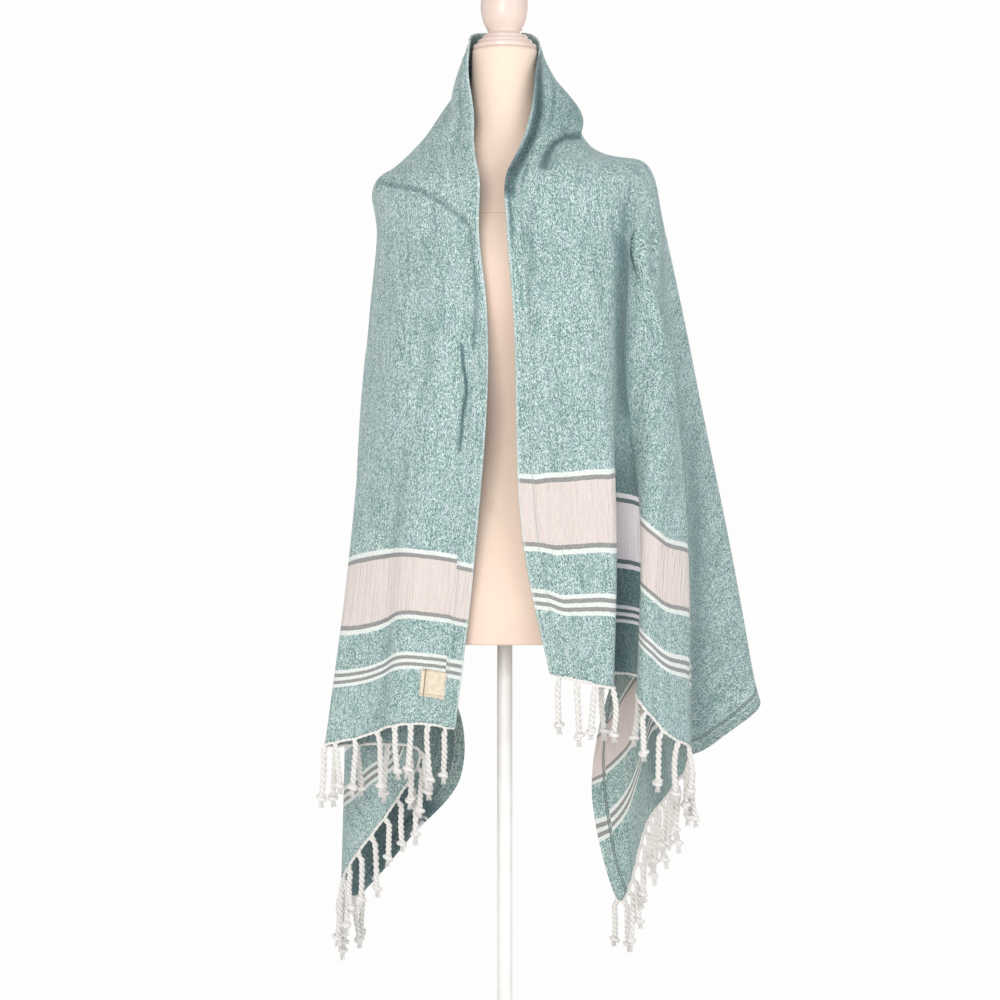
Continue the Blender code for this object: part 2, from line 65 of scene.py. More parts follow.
# How often the surface is eased, and by what share, before and after its creases are pressed in
EASED_FIRST, EASED_AFTER, ROUNDS_AFTER = (6, 0.5), (1, 0.4), 3

# The turned hems: width, thickness and how far they reach past the cloth's edge, the powers that
# square their section off in width and height, the share of their underside that is buried in the
# cloth, and the row of stitches that sinks into them
HEM_WIDE, HEM_THICK, HEM_LIP = 0.0203, 0.0026, 0.0011
HEM_COLUMNS, HEM_SIDES = 16, 28
HEM_SQUARE = (0.5, 0.7)
HEM_BURIED = 0.75
STITCH_AT, STITCH_WIDE, STITCH_SINK = 0.0176, 0.0011, 0.55
STITCH_LONG = 0.0032

# The blank label: where it is sewn, its fold, how much it leans, and its lift off the cloth
LABEL_ALONG = (0.031, 0.064)
LABEL_ACROSS = (0.0208, 0.0580)
LABEL_FOLD = 0.0520
LABEL_LEAN = 0.05
LABEL_UNDER, LABEL_LIFT, LABEL_DOME, LABEL_RIPPLE = 0.0007, 0.0010, 0.0012, 0.0004
LABEL_GRID = (40, 60)
# Shares of the label: how wide its rounded rim is, and middle and half width of the ridge and the dip
# where its end is folded under
LABEL_RIM, LABEL_RIDGE, LABEL_DIP = 0.12, (0.77, 0.035), (0.84, 0.02)

# The fringe: its tassels, the solid's backing strip that they follow, and the room kept at its bends
TASSELS = 27
TASSEL_LONG = 0.070
TASSEL_WIDE = 0.0068
BACKING_GAP, BACKING_DEEP = 0.0007, 0.004
BEND_ROOM = 0.0005
# How far a tassel is led off the edge, by how much outwards and down, before it hangs. How much it
# leans, how unequal the lengths are, and how far it bends along the edge and out from it
LED_OUT, LED_WAY = 0.008, (0.8, 0.4)
SWAY, UNEVEN = 0.08, 0.13
BEND, CURL = 0.0042, 0.0026
# Two strands, how often they turn round each other, their radius, how far they circle and how they
# part and thin where they leave the cloth
STRAND_TURNS, STRAND_ROUND, STRAND_CIRCLE = 5.2, 0.00205, 0.0018
GATHER_LONG, GATHER_APART, GATHER_BACK, GATHER_THIN = 0.09, 0.0026, 0.0016, 0.0004
STRAND_SPAN = (-0.02, 0.78)
# The knot: its place, turns and half height, and how far its strand circles and how thick it is, each
# at its ends and more in its middle
KNOT_AT, KNOT_TURNS, KNOT_HIGH = 0.795, 1.85, 0.0034
KNOT_CIRCLE, KNOT_ROUND = (0.0020, 0.0024), (0.0010, 0.0017)
# The frayed end: its threads, how far they spread, how unevenly, and their thickness and its loss
FRAY_SPAN, FRAY_THREADS = (0.80, 0.96), 9
FRAY_START, FRAY_SPREAD, FRAY_UNEVEN = 0.0010, 0.0016, 0.0012
FRAY_ROUND = (0.00085, 0.00045)
# The rolled edge that the tassels hang from
ROLL_ROUND, ROLL_OUT, ROLL_DIP = 0.0018, 0.0004, 0.0014
DOWN = np.array([0, 0, -1.0])
TURN = 2 * math.pi

# Where the towel is looked at from: x and z in the tables are read on the form's middle plane
EYE_X, EYE_Z, EYE_FAR = -0.006, 0.955, 2.70
PICTURE_WIDE = 1.25
# The pale room: its colour where the camera sees it and where it only lights, and both strengths
ROOM_COLOUR, ROOM_SHINE = (0.93, 0.93, 0.925, 1.0), (0.88, 0.94, 1.0, 1.0)
ROOM_SEEN, ROOM_LIGHT = 1.06, 0.54
FLOOR_COLOUR = (0.95, 0.93, 0.905, 1.0)
FLOOR_REACH, FLOOR_FADE = 30.0, (0.5, 1.5)
LAMP_COLOUR = (1.0, 0.975, 0.95)
FILL_COLOUR = (0.93, 0.97, 1.0)

# The dress form and its stand
FORM_BOTTOM, NECK_TOP = 0.780, 1.515
# How far the cloth's middle stays off the form, the cap's height, and the gap between two pieces
CLEARANCE = 0.0028
CAP_HIGH, PIECE_GAP = 0.0194, 0.0003
SEAM_HEIGHT = 1.3020
# Half width and depth of the seams across, down each side and down the back
SEAM_WIDE, SEAM_DEEP = (0.0012, 0.0009, 0.0011), (0.0007, 0.0004, 0.0005)
FORM_ROWS, FORM_SIDES = 190, 144
# Height, half width, depth in front, depth behind and squareness of the form's sections
FORM_RINGS = (
    (0.780, 0.148, 0.098, 0.112, 2.3),
    (0.840, 0.156, 0.104, 0.118, 2.3),
    (0.900, 0.150, 0.102, 0.112, 2.3),
    (0.970, 0.130, 0.092, 0.094, 2.2),
    (1.040, 0.114, 0.087, 0.082, 2.2),
    (1.120, 0.124, 0.102, 0.086, 2.2),
    (1.200, 0.136, 0.116, 0.092, 2.2),
    (1.270, 0.140, 0.106, 0.096, 2.2),
    (1.310, 0.141, 0.089, 0.092, 2.2),
    (1.342, 0.130, 0.074, 0.082, 2.2),
    (1.366, 0.102, 0.064, 0.072, 2.2),
    (1.388, 0.074, 0.056, 0.063, 2.1),
    (1.410, 0.053, 0.049, 0.054, 2.0),
    (1.445, 0.044, 0.044, 0.047, 2.0),
    (1.480, 0.0415, 0.042, 0.044, 2.0),
    (1.515, 0.0405, 0.041, 0.042, 2.0),
)

# Sections of the cloth over neck and shoulders: height and reach at each side, in millimetres, and
# the share of a fall line's turn that it has made by there
COLLAR_COLUMNS = ("height_left", "height_right", "left", "right", "front", "back", "share")
COLLAR = {
    "rim": (1533, 1520, 43, 44, 42, 50, 0.53),
    "throat": (1492, 1492, 58, 56, 52, 64, 0.76),
    "nape": (1435, 1440, 75, 88, 68, 85, 0.885),
    "fold": (1402, 1400, 104, 102, 86, 100, 0.94),
    "slope": (1379, 1388, 127, 116, 98, 108, 0.97),
    "shoulder": (1350, 1376, 158, 170, 112, 116, 1.0),
    "arm": (1288, 1300, 159, 194, 126, 122, 1.0),
}
BACK_RISE = {"rim": 9, "throat": 4}
RIGHT_BACK_RISE = {"rim": 17, "throat": 6}
CHEST_HEIGHT, THIGH_HEIGHT = 1200, 880

# One row for each fall line, in millimetres: where it ends on the flat cloth, the way it points at
# the shoulder in degrees round from the front by the left, and its place at chest, thigh and hem
FALL_COLUMNS = (
    "along", "across", "turn", "chest_x", "chest_y", "thigh_x", "thigh_y", "hem_x", "hem_y", "hem_z",
)
FALLS = {
    "left_edge": (0, 0, 12, -24, -131, -39, -124, -63, -92, 670),
    "left_panel": (0, 50, 30, -62, -138, -84, -134, -104, -108, 676),
    "left_panel_far": (0, 100, 45, -100, -130, -131, -128, -146, -108, 672),
    "left_dip": (0, 135, 57, -132, -108, -160, -106, -175, -94, 661),
    "left_crest": (0, 190, 70, -156, -72, -191, -78, -223, -84, 650),
    "left_valley": (0, 330, 78, -162, -45, -167, -56, -106, -42, 640),
    "left_shade": (0, 420, 84, -166, -28, -176, -34, -140, -22, 574),
    "left_side": (0, 510, 90, -167, -6, -190, -8, -192, 10, 503),
    "left_corner": (0, 720, 98, -164, 28, -182, 30, -174, 104, 470),
    "left_flap": (110, 720, 107, -152, 58, -160, 68, -118, 122, 535),
    "left_flap_edge": (210, 720, 116, -138, 82, -142, 96, -56, 114, 610),
    "left_flap_top": (300, 720, 124, -124, 98, -134, 118, -62, 132, 700),
    "left_back": (420, 720, 134, -106, 110, -146, 146, -164, 152, 775),
    "back_1": (530, 720, 146, -84, 126, -102, 160, -108, 178, 812),
    "back_2": (640, 720, 160, -50, 114, -60, 134, -60, 146, 828),
    "back_3": (760, 720, 172, -18, 126, -18, 158, -14, 180, 835),
    "back_4": (880, 720, 186, 20, 114, 26, 136, 36, 150, 835),
    "back_5": (990, 720, 200, 60, 124, 76, 156, 92, 178, 825),
    "back_6": (1090, 720, 216, 102, 110, 132, 138, 162, 152, 790),
    "wing_back": (1170, 720, 236, 154, 94, 208, 122, 246, 150, 738),
    "wing_crest": (1250, 720, 256, 214, 50, 286, 74, 319, 104, 700),
    "wing_low": (1300, 720, 262, 210, 31, 268, 54, 281, 95, 666),
    "wing": (1350, 720, 267, 203, 14, 246, 34, 234, 78, 638),
    "wing_turn": (1470, 720, 274, 188, -8, 206, 12, 152, 58, 767),
    "rear_hem_top": (1540, 720, 279, 183, -20, 199, -4, 128, 48, 705),
    "rear_hem": (1650, 720, 284, 178, -30, 193, -17, 110, 48, 590),
    "right_corner": (1770, 720, 289, 184, -30, 190, -30, 139, 62, 461),
    "rear_fringe": (1770, 520, 294, 182, -40, 193, -42, 180, 16, 556),
    "rear_fringe_top": (1770, 370, 299, 186, -48, 208, -58, 211, -40, 598),
    "right_crest": (1770, 250, 303, 188, -64, 228, -84, 231, -84, 647),
    "right_fold_mid": (1770, 205, 309, 172, -86, 198, -112, 202, -112, 664),
    "right_fold": (1770, 162, 314, 150, -101, 168, -118, 170, -116, 703),
    "right_recess": (1770, 128, 319, 132, -108, 147, -104, 150, -100, 735),
    "right_main_crest": (1770, 95, 325, 112, -125, 134, -132, 136, -130, 722),
    "right_panel": (1770, 48, 341, 54, -137, 82, -138, 98, -134, 729),
    "right_edge": (1770, 0, 359, 11, -131, 27, -130, 57, -122, 738),
}

# Soft ridges (lift above 0) and troughs (below 0): half width and lift in the middle in millimetres,
# the share of painted shade that darkens it in thousandths (above 1000 it goes on to the deepest
# painted shade), and the line that it follows on the flat cloth, as pairs of along and across in
# millimetres. Rows with no lift are painted shade alone. Those that lift or sink by more than DEEP
# have steep sides
CREASE_COLUMNS = ("wide", "lift", "dark", "line")
DEEP, DEEP_POWER, SOFT_POWER = 15, 4, 2
CREASES = {
    "left_shoulder": (3.4, -5, 700, (
        655, 120, 646, 90, 640, 74, 633, 58, 621, 42, 608, 26, 596, 16, 586, 10,
    )),
    "left_shoulder_down": (3, -3, 780, (590, 12, 575, 8, 553, 8, 524, 10, 480, 14, 440, 20)),
    "left_hem_pucker": (3, -2, 480, (420, 22, 400, 26, 380, 22, 362, 25, 340, 21)),
    "left_shoulder_swell": (18, 6, 0, (680, 160, 640, 100, 622, 74)),
    "left_chest_swell": (16, 4, 0, (668, 70, 640, 44, 610, 20)),
    "left_hem_curl": (2.8, -4, 1700, (
        440, 41, 418, 39, 401, 34, 389, 32, 372, 35, 355, 36, 342, 35, 322, 37,
    )),
    "hood_bulge_right": (17, 8, 0, (1068, 44, 1096, 92)),
    "hood_dent_right": (4.5, -9, 1500, (1186, 31, 1166, 36, 1141, 42, 1132, 58, 1111, 78, 1096, 100)),
    "hood_brow_right": (9, 6, 0, (1184, 48, 1156, 56, 1146, 70, 1126, 92)),
    "hood_strip_right": (6, -6, 0, (1006, 10, 1100, 13, 1160, 11, 1250, 9)),
    "hood_strip_painted_shade": (7, 0, 2500, (1020, 6, 1073, 8, 1098, 10, 1128, 11, 1157, 9, 1191, 6, 1222, 4)),
    "hood_strip_end": (3, 0, 900, (1200, 6, 1250, 5, 1290, 6)),
    "hood_strip_ridge": (3, 3.5, 0, (1056, 21, 1100, 22, 1140, 23)),
    "hood_strip_shade": (4, -2, 640, (1050, 28, 1090, 28, 1124, 29)),
    "hood_shade_right": (34, 0, 540, (1040, 56, 1110, 64)),
    "hood_crown_right": (14, 5, 0, (1108, 52, 1090, 74)),
    "hood_swell_left": (24, 5, 0, (806, 96, 748, 60)),
    "hood_fold_left": (5, -4, 320, (806, 26, 760, 24, 700, 21)),
    "hood_fold_far": (5, -3, 300, (812, 60, 780, 50, 745, 44)),
    "hood_back": (24, 8, 0, (880, 96, 985, 100)),
    "hood_back_dent": (12, -6, 300, (850, 140, 1022, 146)),
    "right_recess": (22, -27, 0, (1258, 160, 1330, 158, 1500, 146, 1990, 106)),
    "right_recess_shade": (22, 0, 880, (1400, 140, 1500, 145, 1990, 106)),
    "right_recess_top": (18, 0, 1400, (1276, 122, 1300, 126, 1373, 132, 1470, 138)),
    "right_recess_tip": (11, 0, 620, (1228, 124, 1250, 122, 1282, 124)),
    "right_main_crest": (11, 4, 0, (1240, 118, 1990, 72)),
    "right_fold_ridge": (11, 5, 0, (1330, 210, 1990, 148)),
    "right_pull_outer": (4, -4, 420, (1188, 128, 1240, 124, 1320, 134)),
    "right_pull_inner": (4, -3, 420, (1250, 102, 1290, 112, 1330, 128)),
    "wing_root": (16, 0, 420, (1180, 500, 1262, 596, 1330, 712)),
    "right_wing_dip": (14, -6, 300, (1200, 262, 1400, 252, 1990, 282)),
    "right_hem_curl": (3.5, -2, 480, (1232, 22, 1262, 18, 1300, 23, 1360, 20, 1400, 22)),
    "left_dip": (13, -6, 240, (330, 116, -80, 112)),
    "chest_fold_left": (12, -3, 120, (560, 78, 330, 96)),
    "chest_ridge_left": (14, 3, 0, (500, 112, 250, 128)),
    "thigh_fold_left": (11, 3, 0, (300, 70, 90, 74)),
    "panel_fold_right": (12, -2.5, 80, (1400, 46, 1640, 40)),
    "panel_ridge_right": (12, 2.5, 0, (1480, 68, 1740, 62)),
    "wing_pull": (22, 5, 0, (1290, 330, 1330, 640)),
    "wing_dip": (20, -5, 150, (1350, 300, 1400, 560)),
    "wing_shoulder": (18, 4, 0, (1160, 190, 1200, 380)),
    "side_fold_left": (20, 8, 0, (470, 240, 330, 330, 200, 420)),
    "side_dip_left": (20, -8, 200, (500, 300, 400, 420, 280, 560)),
    "back_fold_1": (24, 10, 0, (716, 220, 690, 400, 640, 640)),
    "back_dip_1": (20, -9, 220, (762, 240, 760, 430, 720, 720)),
    "back_fold_2": (22, 8, 0, (812, 300, 812, 480, 800, 700)),
    "back_dip_2": (18, -7, 180, (862, 280, 868, 470, 876, 730)),
    "back_fold_3": (24, 10, 0, (918, 230, 930, 430, 950, 700)),
    "back_dip_3": (20, -9, 220, (980, 250, 1010, 440, 1050, 730)),
    "back_fold_4": (24, 8, 0, (1040, 230, 1080, 400, 1130, 640)),
    "back_cross": (14, -4, 150, (800, 180, 1010, 196)),
}

# Deeper shade on the inner face and on the lower hem, which lies on that face, in the same columns
INNER_SHADES = {
    "under_the_left_panel": (23, 0, 2000, (0, 672, 60, 686, 110, 701, 146, 706)),
    "on_the_left_flap_hem": (16, 0, 1800, (10, 706, 60, 711, 95, 714, 120, 715)),
    "behind_the_left_fringe": (30, 0, 500, (0, 380, 60, 420, 60, 480)),
    "under_the_right_fold": (46, 0, 640, (1770, 420, 1710, 490, 1640, 540)),
}

# How far the weave is pulled askew by each fringed end, in millimetres towards the fringe: one row
# for each measure across, with the pull at the fringe, at the narrow stripes, at the band and above
PULL_ALONG = (0, 95, 235, 420, 700)
PULL_RIGHT = {
    0: (0, 6, 9, 4, 0), 18: (0, 6, 9, 4, 0), 34: (0, 10, 6, 4, 0), 48: (0, 8, 5, 4, 0),
    92: (0, 4, 1, 2, 0), 108: (2, 10, 6, 4, 0), 116: (4, 20, 22, 16, 0), 150: (6, 28, 34, 24, 0),
    170: (4, 27, 38, 24, 0), 240: (2, 17, 36, 20, 0), 330: (0, 10, 16, 8, 0), 460: (0, 0, 0, 0, 0),
    560: (0, -18, 2, 0, 0), 640: (0, -18, 10, 0, 0), 672: (0, -5, 24, 8, 0),
    700: (0, 6, 44, 16, 0), 720: (0, 14, 60, 20, 0),
}
PULL_LEFT = {
    0: (0, 8, 5, 0, 0), 48: (0, 9, 5, 0, 0), 96: (0, 7, 1, 0, 0), 118: (0, 12, -3, 0, 0),
    160: (0, 12, -6, 0, 0), 210: (0, 6, -6, 0, 0), 300: (6, 10, 2, 0, 0), 350: (26, 34, 16, 6, 0),
    396: (40, 43, 24, 8, 0), 454: (20, 22, 10, 4, 0), 486: (12, 13, 2, 0, 0), 561: (-4, -6, -6, 0, 0),
    620: (12, 14, 34, 12, 0), 672: (30, 40, 84, 34, 0), 720: (40, 50, 100, 40, 0),
}

# The woven stripes: middle and half width of each, measured from a fringed end, in metres. The left
# end was beaten up more tightly by the weaver, so its stripes lie nearer to the fringe
LEFT_TIGHT = 0.880
WHITE_STRIPES = (
    (0.0825, 0.0025), (0.0925, 0.0025), (0.1025, 0.0025), (0.1515, 0.0027), (0.2350, 0.0028),
)
GREY_STRIPES = ((0.0875, 0.0025), (0.0975, 0.0025), (0.1568, 0.0026), (0.2296, 0.0026))
PINK_BAND = (0.1932, 0.0338)

# Flecks of the melange, the spacing of the threads as drawn, and the crinkles, in metres
FLECK_LONG, FLECK_WIDE = 0.0015, 0.0007
THREAD = 0.0021
CRINKLE_LONG, CRINKLE_WIDE = 0.045, 0.0042


def linear(colour):
    """sRGB hex text to linear red, green, blue and a full alpha."""
    parts = [int(colour[k:k + 2], 16) / 255 for k in (1, 3, 5)]
    return tuple(p / 12.92 if p <= 0.04045 else ((p + 0.055) / 1.055) ** 2.4 for p in parts) + (1.0,)


def start_material(name, **values):
    """A new material with the given sockets set on its shader, its tree and that shader."""
    made = bpy.data.materials.new(name)
    made.use_nodes = True
    shader = made.node_tree.nodes["Principled BSDF"]
    for socket, value in values.items():
        shader.inputs[socket.replace("_", " ")].default_value = value
    return made, made.node_tree, shader


# The setting that a second word in a node's kind chooses
CHOICES = {
    "Math": "operation", "VectorMath": "operation", "MapRange": "interpolation_type", "Mix": "data_type",
    "TexWhiteNoise": "noise_dimensions",
}


def add(tree, kind, *values, out=None, **named):
    """Adds one node and returns its first output, or the one that out names.

    Values go to the inputs that the node shows, in their order. A name with a capital is an input's
    own, any other name is a setting. A value that is another node's output is linked.
    """
    kind, _, choice = kind.partition(" ")
    node = tree.nodes.new("ShaderNode" + kind)
    if choice:
        setattr(node, CHOICES[kind], choice)
    sockets = list(zip([socket for socket in node.inputs if socket.enabled], values))
    for name, value in named.items():
        if name[0].isupper():
            sockets.append((node.inputs[name], value))
        else:
            setattr(node, name, value)
    for socket, value in sockets:
        if hasattr(value, "is_output"):
            tree.links.new(value, socket)
        else:
            socket.default_value = value
    return next(socket for socket in node.outputs if socket.enabled and out in (None, socket.name))


def cotton_towel():
    """Cotton melange, flat-woven: teal threads with pale and dark slubs, dull, with a soft nap.

    Stripes of white, grey and pale pink weft cross it by each fringed end. Threads are really 0.7 mm
    apart, drawn three times as coarse so that they show. Long crinkles run along the warp.
    """
    made, tree, shader = start_material(
        "woven_cotton_melange", Roughness=0.92, IOR=1.47, Sheen_Weight=0.24, Sheen_Roughness=0.55,
    )
    shader.inputs["Sheen Tint"].default_value = linear("#E6F0EE")
    place = add(tree, "UVMap", uv_map="flat")
    along = add(tree, "SeparateXYZ", place, out="X")
    across = add(tree, "SeparateXYZ", place, out="Y")

    row = add(tree, "Math FLOOR", add(tree, "Math DIVIDE", across, FLECK_WIDE))
    start = add(tree, "TexWhiteNoise 1D", row)
    flecks_along = add(tree, "Math ADD", add(tree, "Math DIVIDE", along, FLECK_LONG), start)
    cell = add(tree, "Math FLOOR", flecks_along)
    spot = add(tree, "CombineXYZ", row, cell)
    tone = add(tree, "TexWhiteNoise 2D", spot)
    clumps = add(tree, "Mapping", place, Scale=(0.5 / FLECK_LONG, 0.5 / FLECK_WIDE, 1))
    clump = add(tree, "TexNoise", clumps, 1.0, 2.0, 0.6)
    tone = add(tree, "Math ADD", tone, add(tree, "Math MULTIPLY_ADD", clump, 0.3, -0.15))
    pale = add(tree, "MapRange SMOOTHSTEP", tone, 0.50, 0.98)
    dark = add(tree, "MapRange SMOOTHSTEP", tone, 0.50, 0.02)
    slubs = add(tree, "Mapping", place, Scale=(1 / 0.060, 1 / 0.022, 1))
    slub = add(tree, "MapRange SMOOTHSTEP", add(tree, "TexNoise", slubs, 1.0, 3.0), 0.30, 0.70)
    teal = add(tree, "Mix RGBA", slub, linear("#7E9C98"), linear("#98B1AE"))
    tints = add(tree, "Mapping", place, Scale=(1 / 0.030, 1 / 0.012, 1))
    tint = add(tree, "TexNoise", tints, 1.0, 4.0)
    bluer = add(tree, "MapRange SMOOTHSTEP", tint, 0.52, 0.72, 0.0, 0.60)
    teal = add(tree, "Mix RGBA", bluer, teal, linear("#97A3B2"))
    greener = add(tree, "MapRange SMOOTHSTEP", tint, 0.48, 0.30, 0.0, 0.35)
    teal = add(tree, "Mix RGBA", greener, teal, linear("#94AB9C"))
    teal = add(tree, "Mix RGBA", add(tree, "Math MULTIPLY", dark, 0.92), teal, linear("#4F6E6B"))
    teal = add(tree, "Mix RGBA", add(tree, "Math MULTIPLY", pale, 0.86), teal, linear("#DCE6E3"))
    crinkles = add(tree, "Mapping", place, Scale=(1 / CRINKLE_LONG, 1 / CRINKLE_WIDE, 1))
    crinkle = add(tree, "TexNoise", crinkles, 1.0, 3.0)
    # Painted shade in the crinkles' hollows, where their bump sinks
    hollow = add(tree, "MapRange SMOOTHSTEP", crinkle, 0.50, 0.30, 0.0, 0.42)
    teal = add(tree, "Mix RGBA", hollow, teal, linear("#587B7A"))

    wobbles = add(tree, "Mapping", place, Scale=(1 / 0.012, 1 / 0.0022, 1))
    wobble = add(tree, "TexNoise", wobbles, 1.0, 1.0)
    from_left = add(tree, "Math DIVIDE", along, LEFT_TIGHT)
    from_right = add(tree, "Math SUBTRACT", LENGTH, along)
    near = add(tree, "Math MINIMUM", from_left, from_right)
    uneven = add(tree, "Math MULTIPLY", add(tree, "Math SUBTRACT", wobble, 0.5), 0.0016)
    near = add(tree, "Math ADD", near, uneven)

    def stripes(rows):
        """1 within any of these stripes, 0 elsewhere."""
        total = 0.0
        for middle, half in rows:
            inside = add(tree, "Math COMPARE", near, middle, half)
            total = inside if total == 0.0 else add(tree, "Math ADD", total, inside)
        return total

    tick = add(tree, "Math SINE", add(tree, "Math MULTIPLY", across, TURN / THREAD))
    tick = add(tree, "Math MULTIPLY_ADD", tick, 0.28, 0.30)
    grey = add(tree, "Math MULTIPLY", pale, 0.35)
    grey = add(tree, "Mix RGBA", grey, linear("#7D7D7A"), linear("#BDBDB9"))
    grey = add(tree, "Mix RGBA", add(tree, "Math MULTIPLY", tick, 0.55), grey, linear("#B1B0AC"))
    white = add(tree, "Math MULTIPLY", dark, 0.45)
    white = add(tree, "Mix RGBA", white, linear("#DCDFDB"), linear("#B4BEBA"))
    pink = add(tree, "Math MULTIPLY", pale, 0.5)
    pink = add(tree, "Mix RGBA", pink, linear("#D7CAC4"), linear("#E0D5D0"))
    pink = add(tree, "Mix RGBA", add(tree, "Math MULTIPLY", dark, 0.16), pink, linear("#B9A8A6"))
    colour = add(tree, "Mix RGBA", stripes(WHITE_STRIPES), teal, white)
    colour = add(tree, "Mix RGBA", stripes(GREY_STRIPES), colour, grey)
    colour = add(tree, "Mix RGBA", stripes((PINK_BAND,)), colour, pink)

    # One row of stitches in each hem, in a groove with painted shade that is wider and darker along the
    # lower one
    dash = add(tree, "Math SINE", add(tree, "Math MULTIPLY", along, TURN / STITCH_LONG))
    dash = add(tree, "MapRange SMOOTHSTEP", dash, -0.5, -0.1)
    front_line = add(tree, "Math COMPARE", across, STITCH_AT, 0.0005)
    lower_line = add(tree, "Math COMPARE", across, WIDTH - STITCH_AT, 0.0005)
    hem_line = add(tree, "Math ADD", front_line, lower_line)
    front_groove = add(tree, "Math COMPARE", across, STITCH_AT, 0.0011)
    lower_groove = add(tree, "Math COMPARE", across, WIDTH - STITCH_AT, 0.0019)
    groove = add(tree, "Math MULTIPLY", front_groove, 0.22)
    groove = add(tree, "Math MULTIPLY_ADD", lower_groove, 0.75, groove)
    colour = add(tree, "Mix RGBA", groove, colour, linear("#4C5C5A"))
    thread = add(tree, "Math MULTIPLY", hem_line, dash)
    colour = add(tree, "Mix RGBA", add(tree, "Math MULTIPLY", thread, 0.60), colour, linear("#C9D6D3"))
    # Painted highlight: a pale line along the front edge, where it catches the light
    rim = add(tree, "Math MULTIPLY", add(tree, "Math COMPARE", across, 0.0, 0.0019), 0.40)
    colour = add(tree, "Mix RGBA", rim, colour, linear("#CFDCD9"))

    # Painted shade darkens creases and the inner face where shade falls, towards a dim blue teal and
    # past 1 to a deeper tone. The pale stripes take less of it and are painted a cooler, lighter tint
    # there, unless it is past 1, and the pale flecks still show where it is deepest
    bright = stripes(WHITE_STRIPES + (PINK_BAND,))
    shade_and_worn_tone = add(tree, "Attribute", attribute_name="painted_shade", out="Fac")
    bright = add(tree, "Math MULTIPLY", bright, add(tree, "MapRange SMOOTHSTEP", shade_and_worn_tone, 1.5, 1.0))
    pale_in_painted_shade = add(tree, "MapRange SMOOTHSTEP", shade_and_worn_tone, 0.5, 0.9, 0.0, 0.85)
    pale_in_painted_shade = add(tree, "Math MULTIPLY", bright, pale_in_painted_shade)
    colour = add(tree, "Mix RGBA", pale_in_painted_shade, colour, linear("#E9E4EC"))
    shade_and_worn_tone = add(tree, "Math MULTIPLY", shade_and_worn_tone, add(tree, "Math MULTIPLY_ADD", bright, -0.88, 1.0))
    colour = add(tree, "Mix RGBA", shade_and_worn_tone, colour, add(tree, "Mix RGBA", 0.88, colour, linear("#3F5C62")))
    colour = add(tree, "Mix RGBA", add(tree, "Math SUBTRACT", shade_and_worn_tone, 1.0), colour, linear("#2A3F40"))
    left_pale = add(tree, "MapRange SMOOTHSTEP", shade_and_worn_tone, 0.7, 1.2, 0.0, 0.34)
    left_pale = add(tree, "Math MULTIPLY", pale, left_pale)
    colour = add(tree, "Mix RGBA", left_pale, colour, linear("#A4BAB8"))
    tree.links.new(colour, shader.inputs["Base Color"])

    # Relief: threads over and under, crinkles that are deeper in the pink band, slubs, sunk stitches
    warp = add(tree, "Math SINE", add(tree, "Math MULTIPLY", across, TURN / THREAD))
    weft = add(tree, "Math SINE", add(tree, "Math MULTIPLY", along, TURN / THREAD))
    weave = add(tree, "Math MULTIPLY", warp, weft)
    band = add(tree, "Math MULTIPLY_ADD", stripes((PINK_BAND,)), 9.0, 4.0)
    height = add(tree, "Math MULTIPLY_ADD", weave, 0.20, add(tree, "Math MULTIPLY", crinkle, band))
    height = add(tree, "Math ADD", height, add(tree, "Math MULTIPLY", pale, 0.45))
    height = add(tree, "Math SUBTRACT", height, add(tree, "Math MULTIPLY", hem_line, 1.2))
    bump = add(tree, "Bump", Strength=0.55, Distance=0.0009, Height=height)
    tree.links.new(bump, shader.inputs["Normal"])
    return made


def cotton_cord():
    """Cotton yarn, bleached and twisted by hand: warm white, dull and a little hairy."""
    made, tree, shader = start_material(
        "twisted_cotton_yarn", Roughness=0.90, IOR=1.47, Sheen_Weight=0.35, Sheen_Roughness=0.5,
    )
    place = add(tree, "UVMap", uv_map="flat")
    around = add(tree, "SeparateXYZ", place, out="X")
    down = add(tree, "SeparateXYZ", place, out="Y")
    lay = add(
        tree, "Math ADD", add(tree, "Math MULTIPLY", around, TURN / 0.0016),
        add(tree, "Math MULTIPLY", down, TURN / 0.0026),
    )
    yarn = add(tree, "Math MULTIPLY_ADD", add(tree, "Math SINE", lay), 0.5, 0.5)
    body = add(tree, "TexCoord", out="Object")
    cloud = add(tree, "TexNoise", body, 260.0, 3.0, 0.6)
    # Painted shade: the yarn is darker in the twist's grooves, on the same wave as its bump
    colour = add(tree, "Mix RGBA", yarn, linear("#D6D1CC"), linear("#F4F1ED"))
    cloud = add(tree, "MapRange SMOOTHSTEP", cloud, 0.55, 0.75, 0.0, 0.30)
    colour = add(tree, "Mix RGBA", cloud, colour, linear("#CFC4BC"))
    tree.links.new(colour, shader.inputs["Base Color"])
    fibres = add(tree, "TexNoise", body, 1500.0, 2.0)
    height = add(tree, "Math MULTIPLY_ADD", yarn, 0.8, add(tree, "Math MULTIPLY", fibres, 0.5))
    bump = add(tree, "Bump", Strength=0.6, Distance=0.0006, Height=height)
    tree.links.new(bump, shader.inputs["Normal"])
    return made


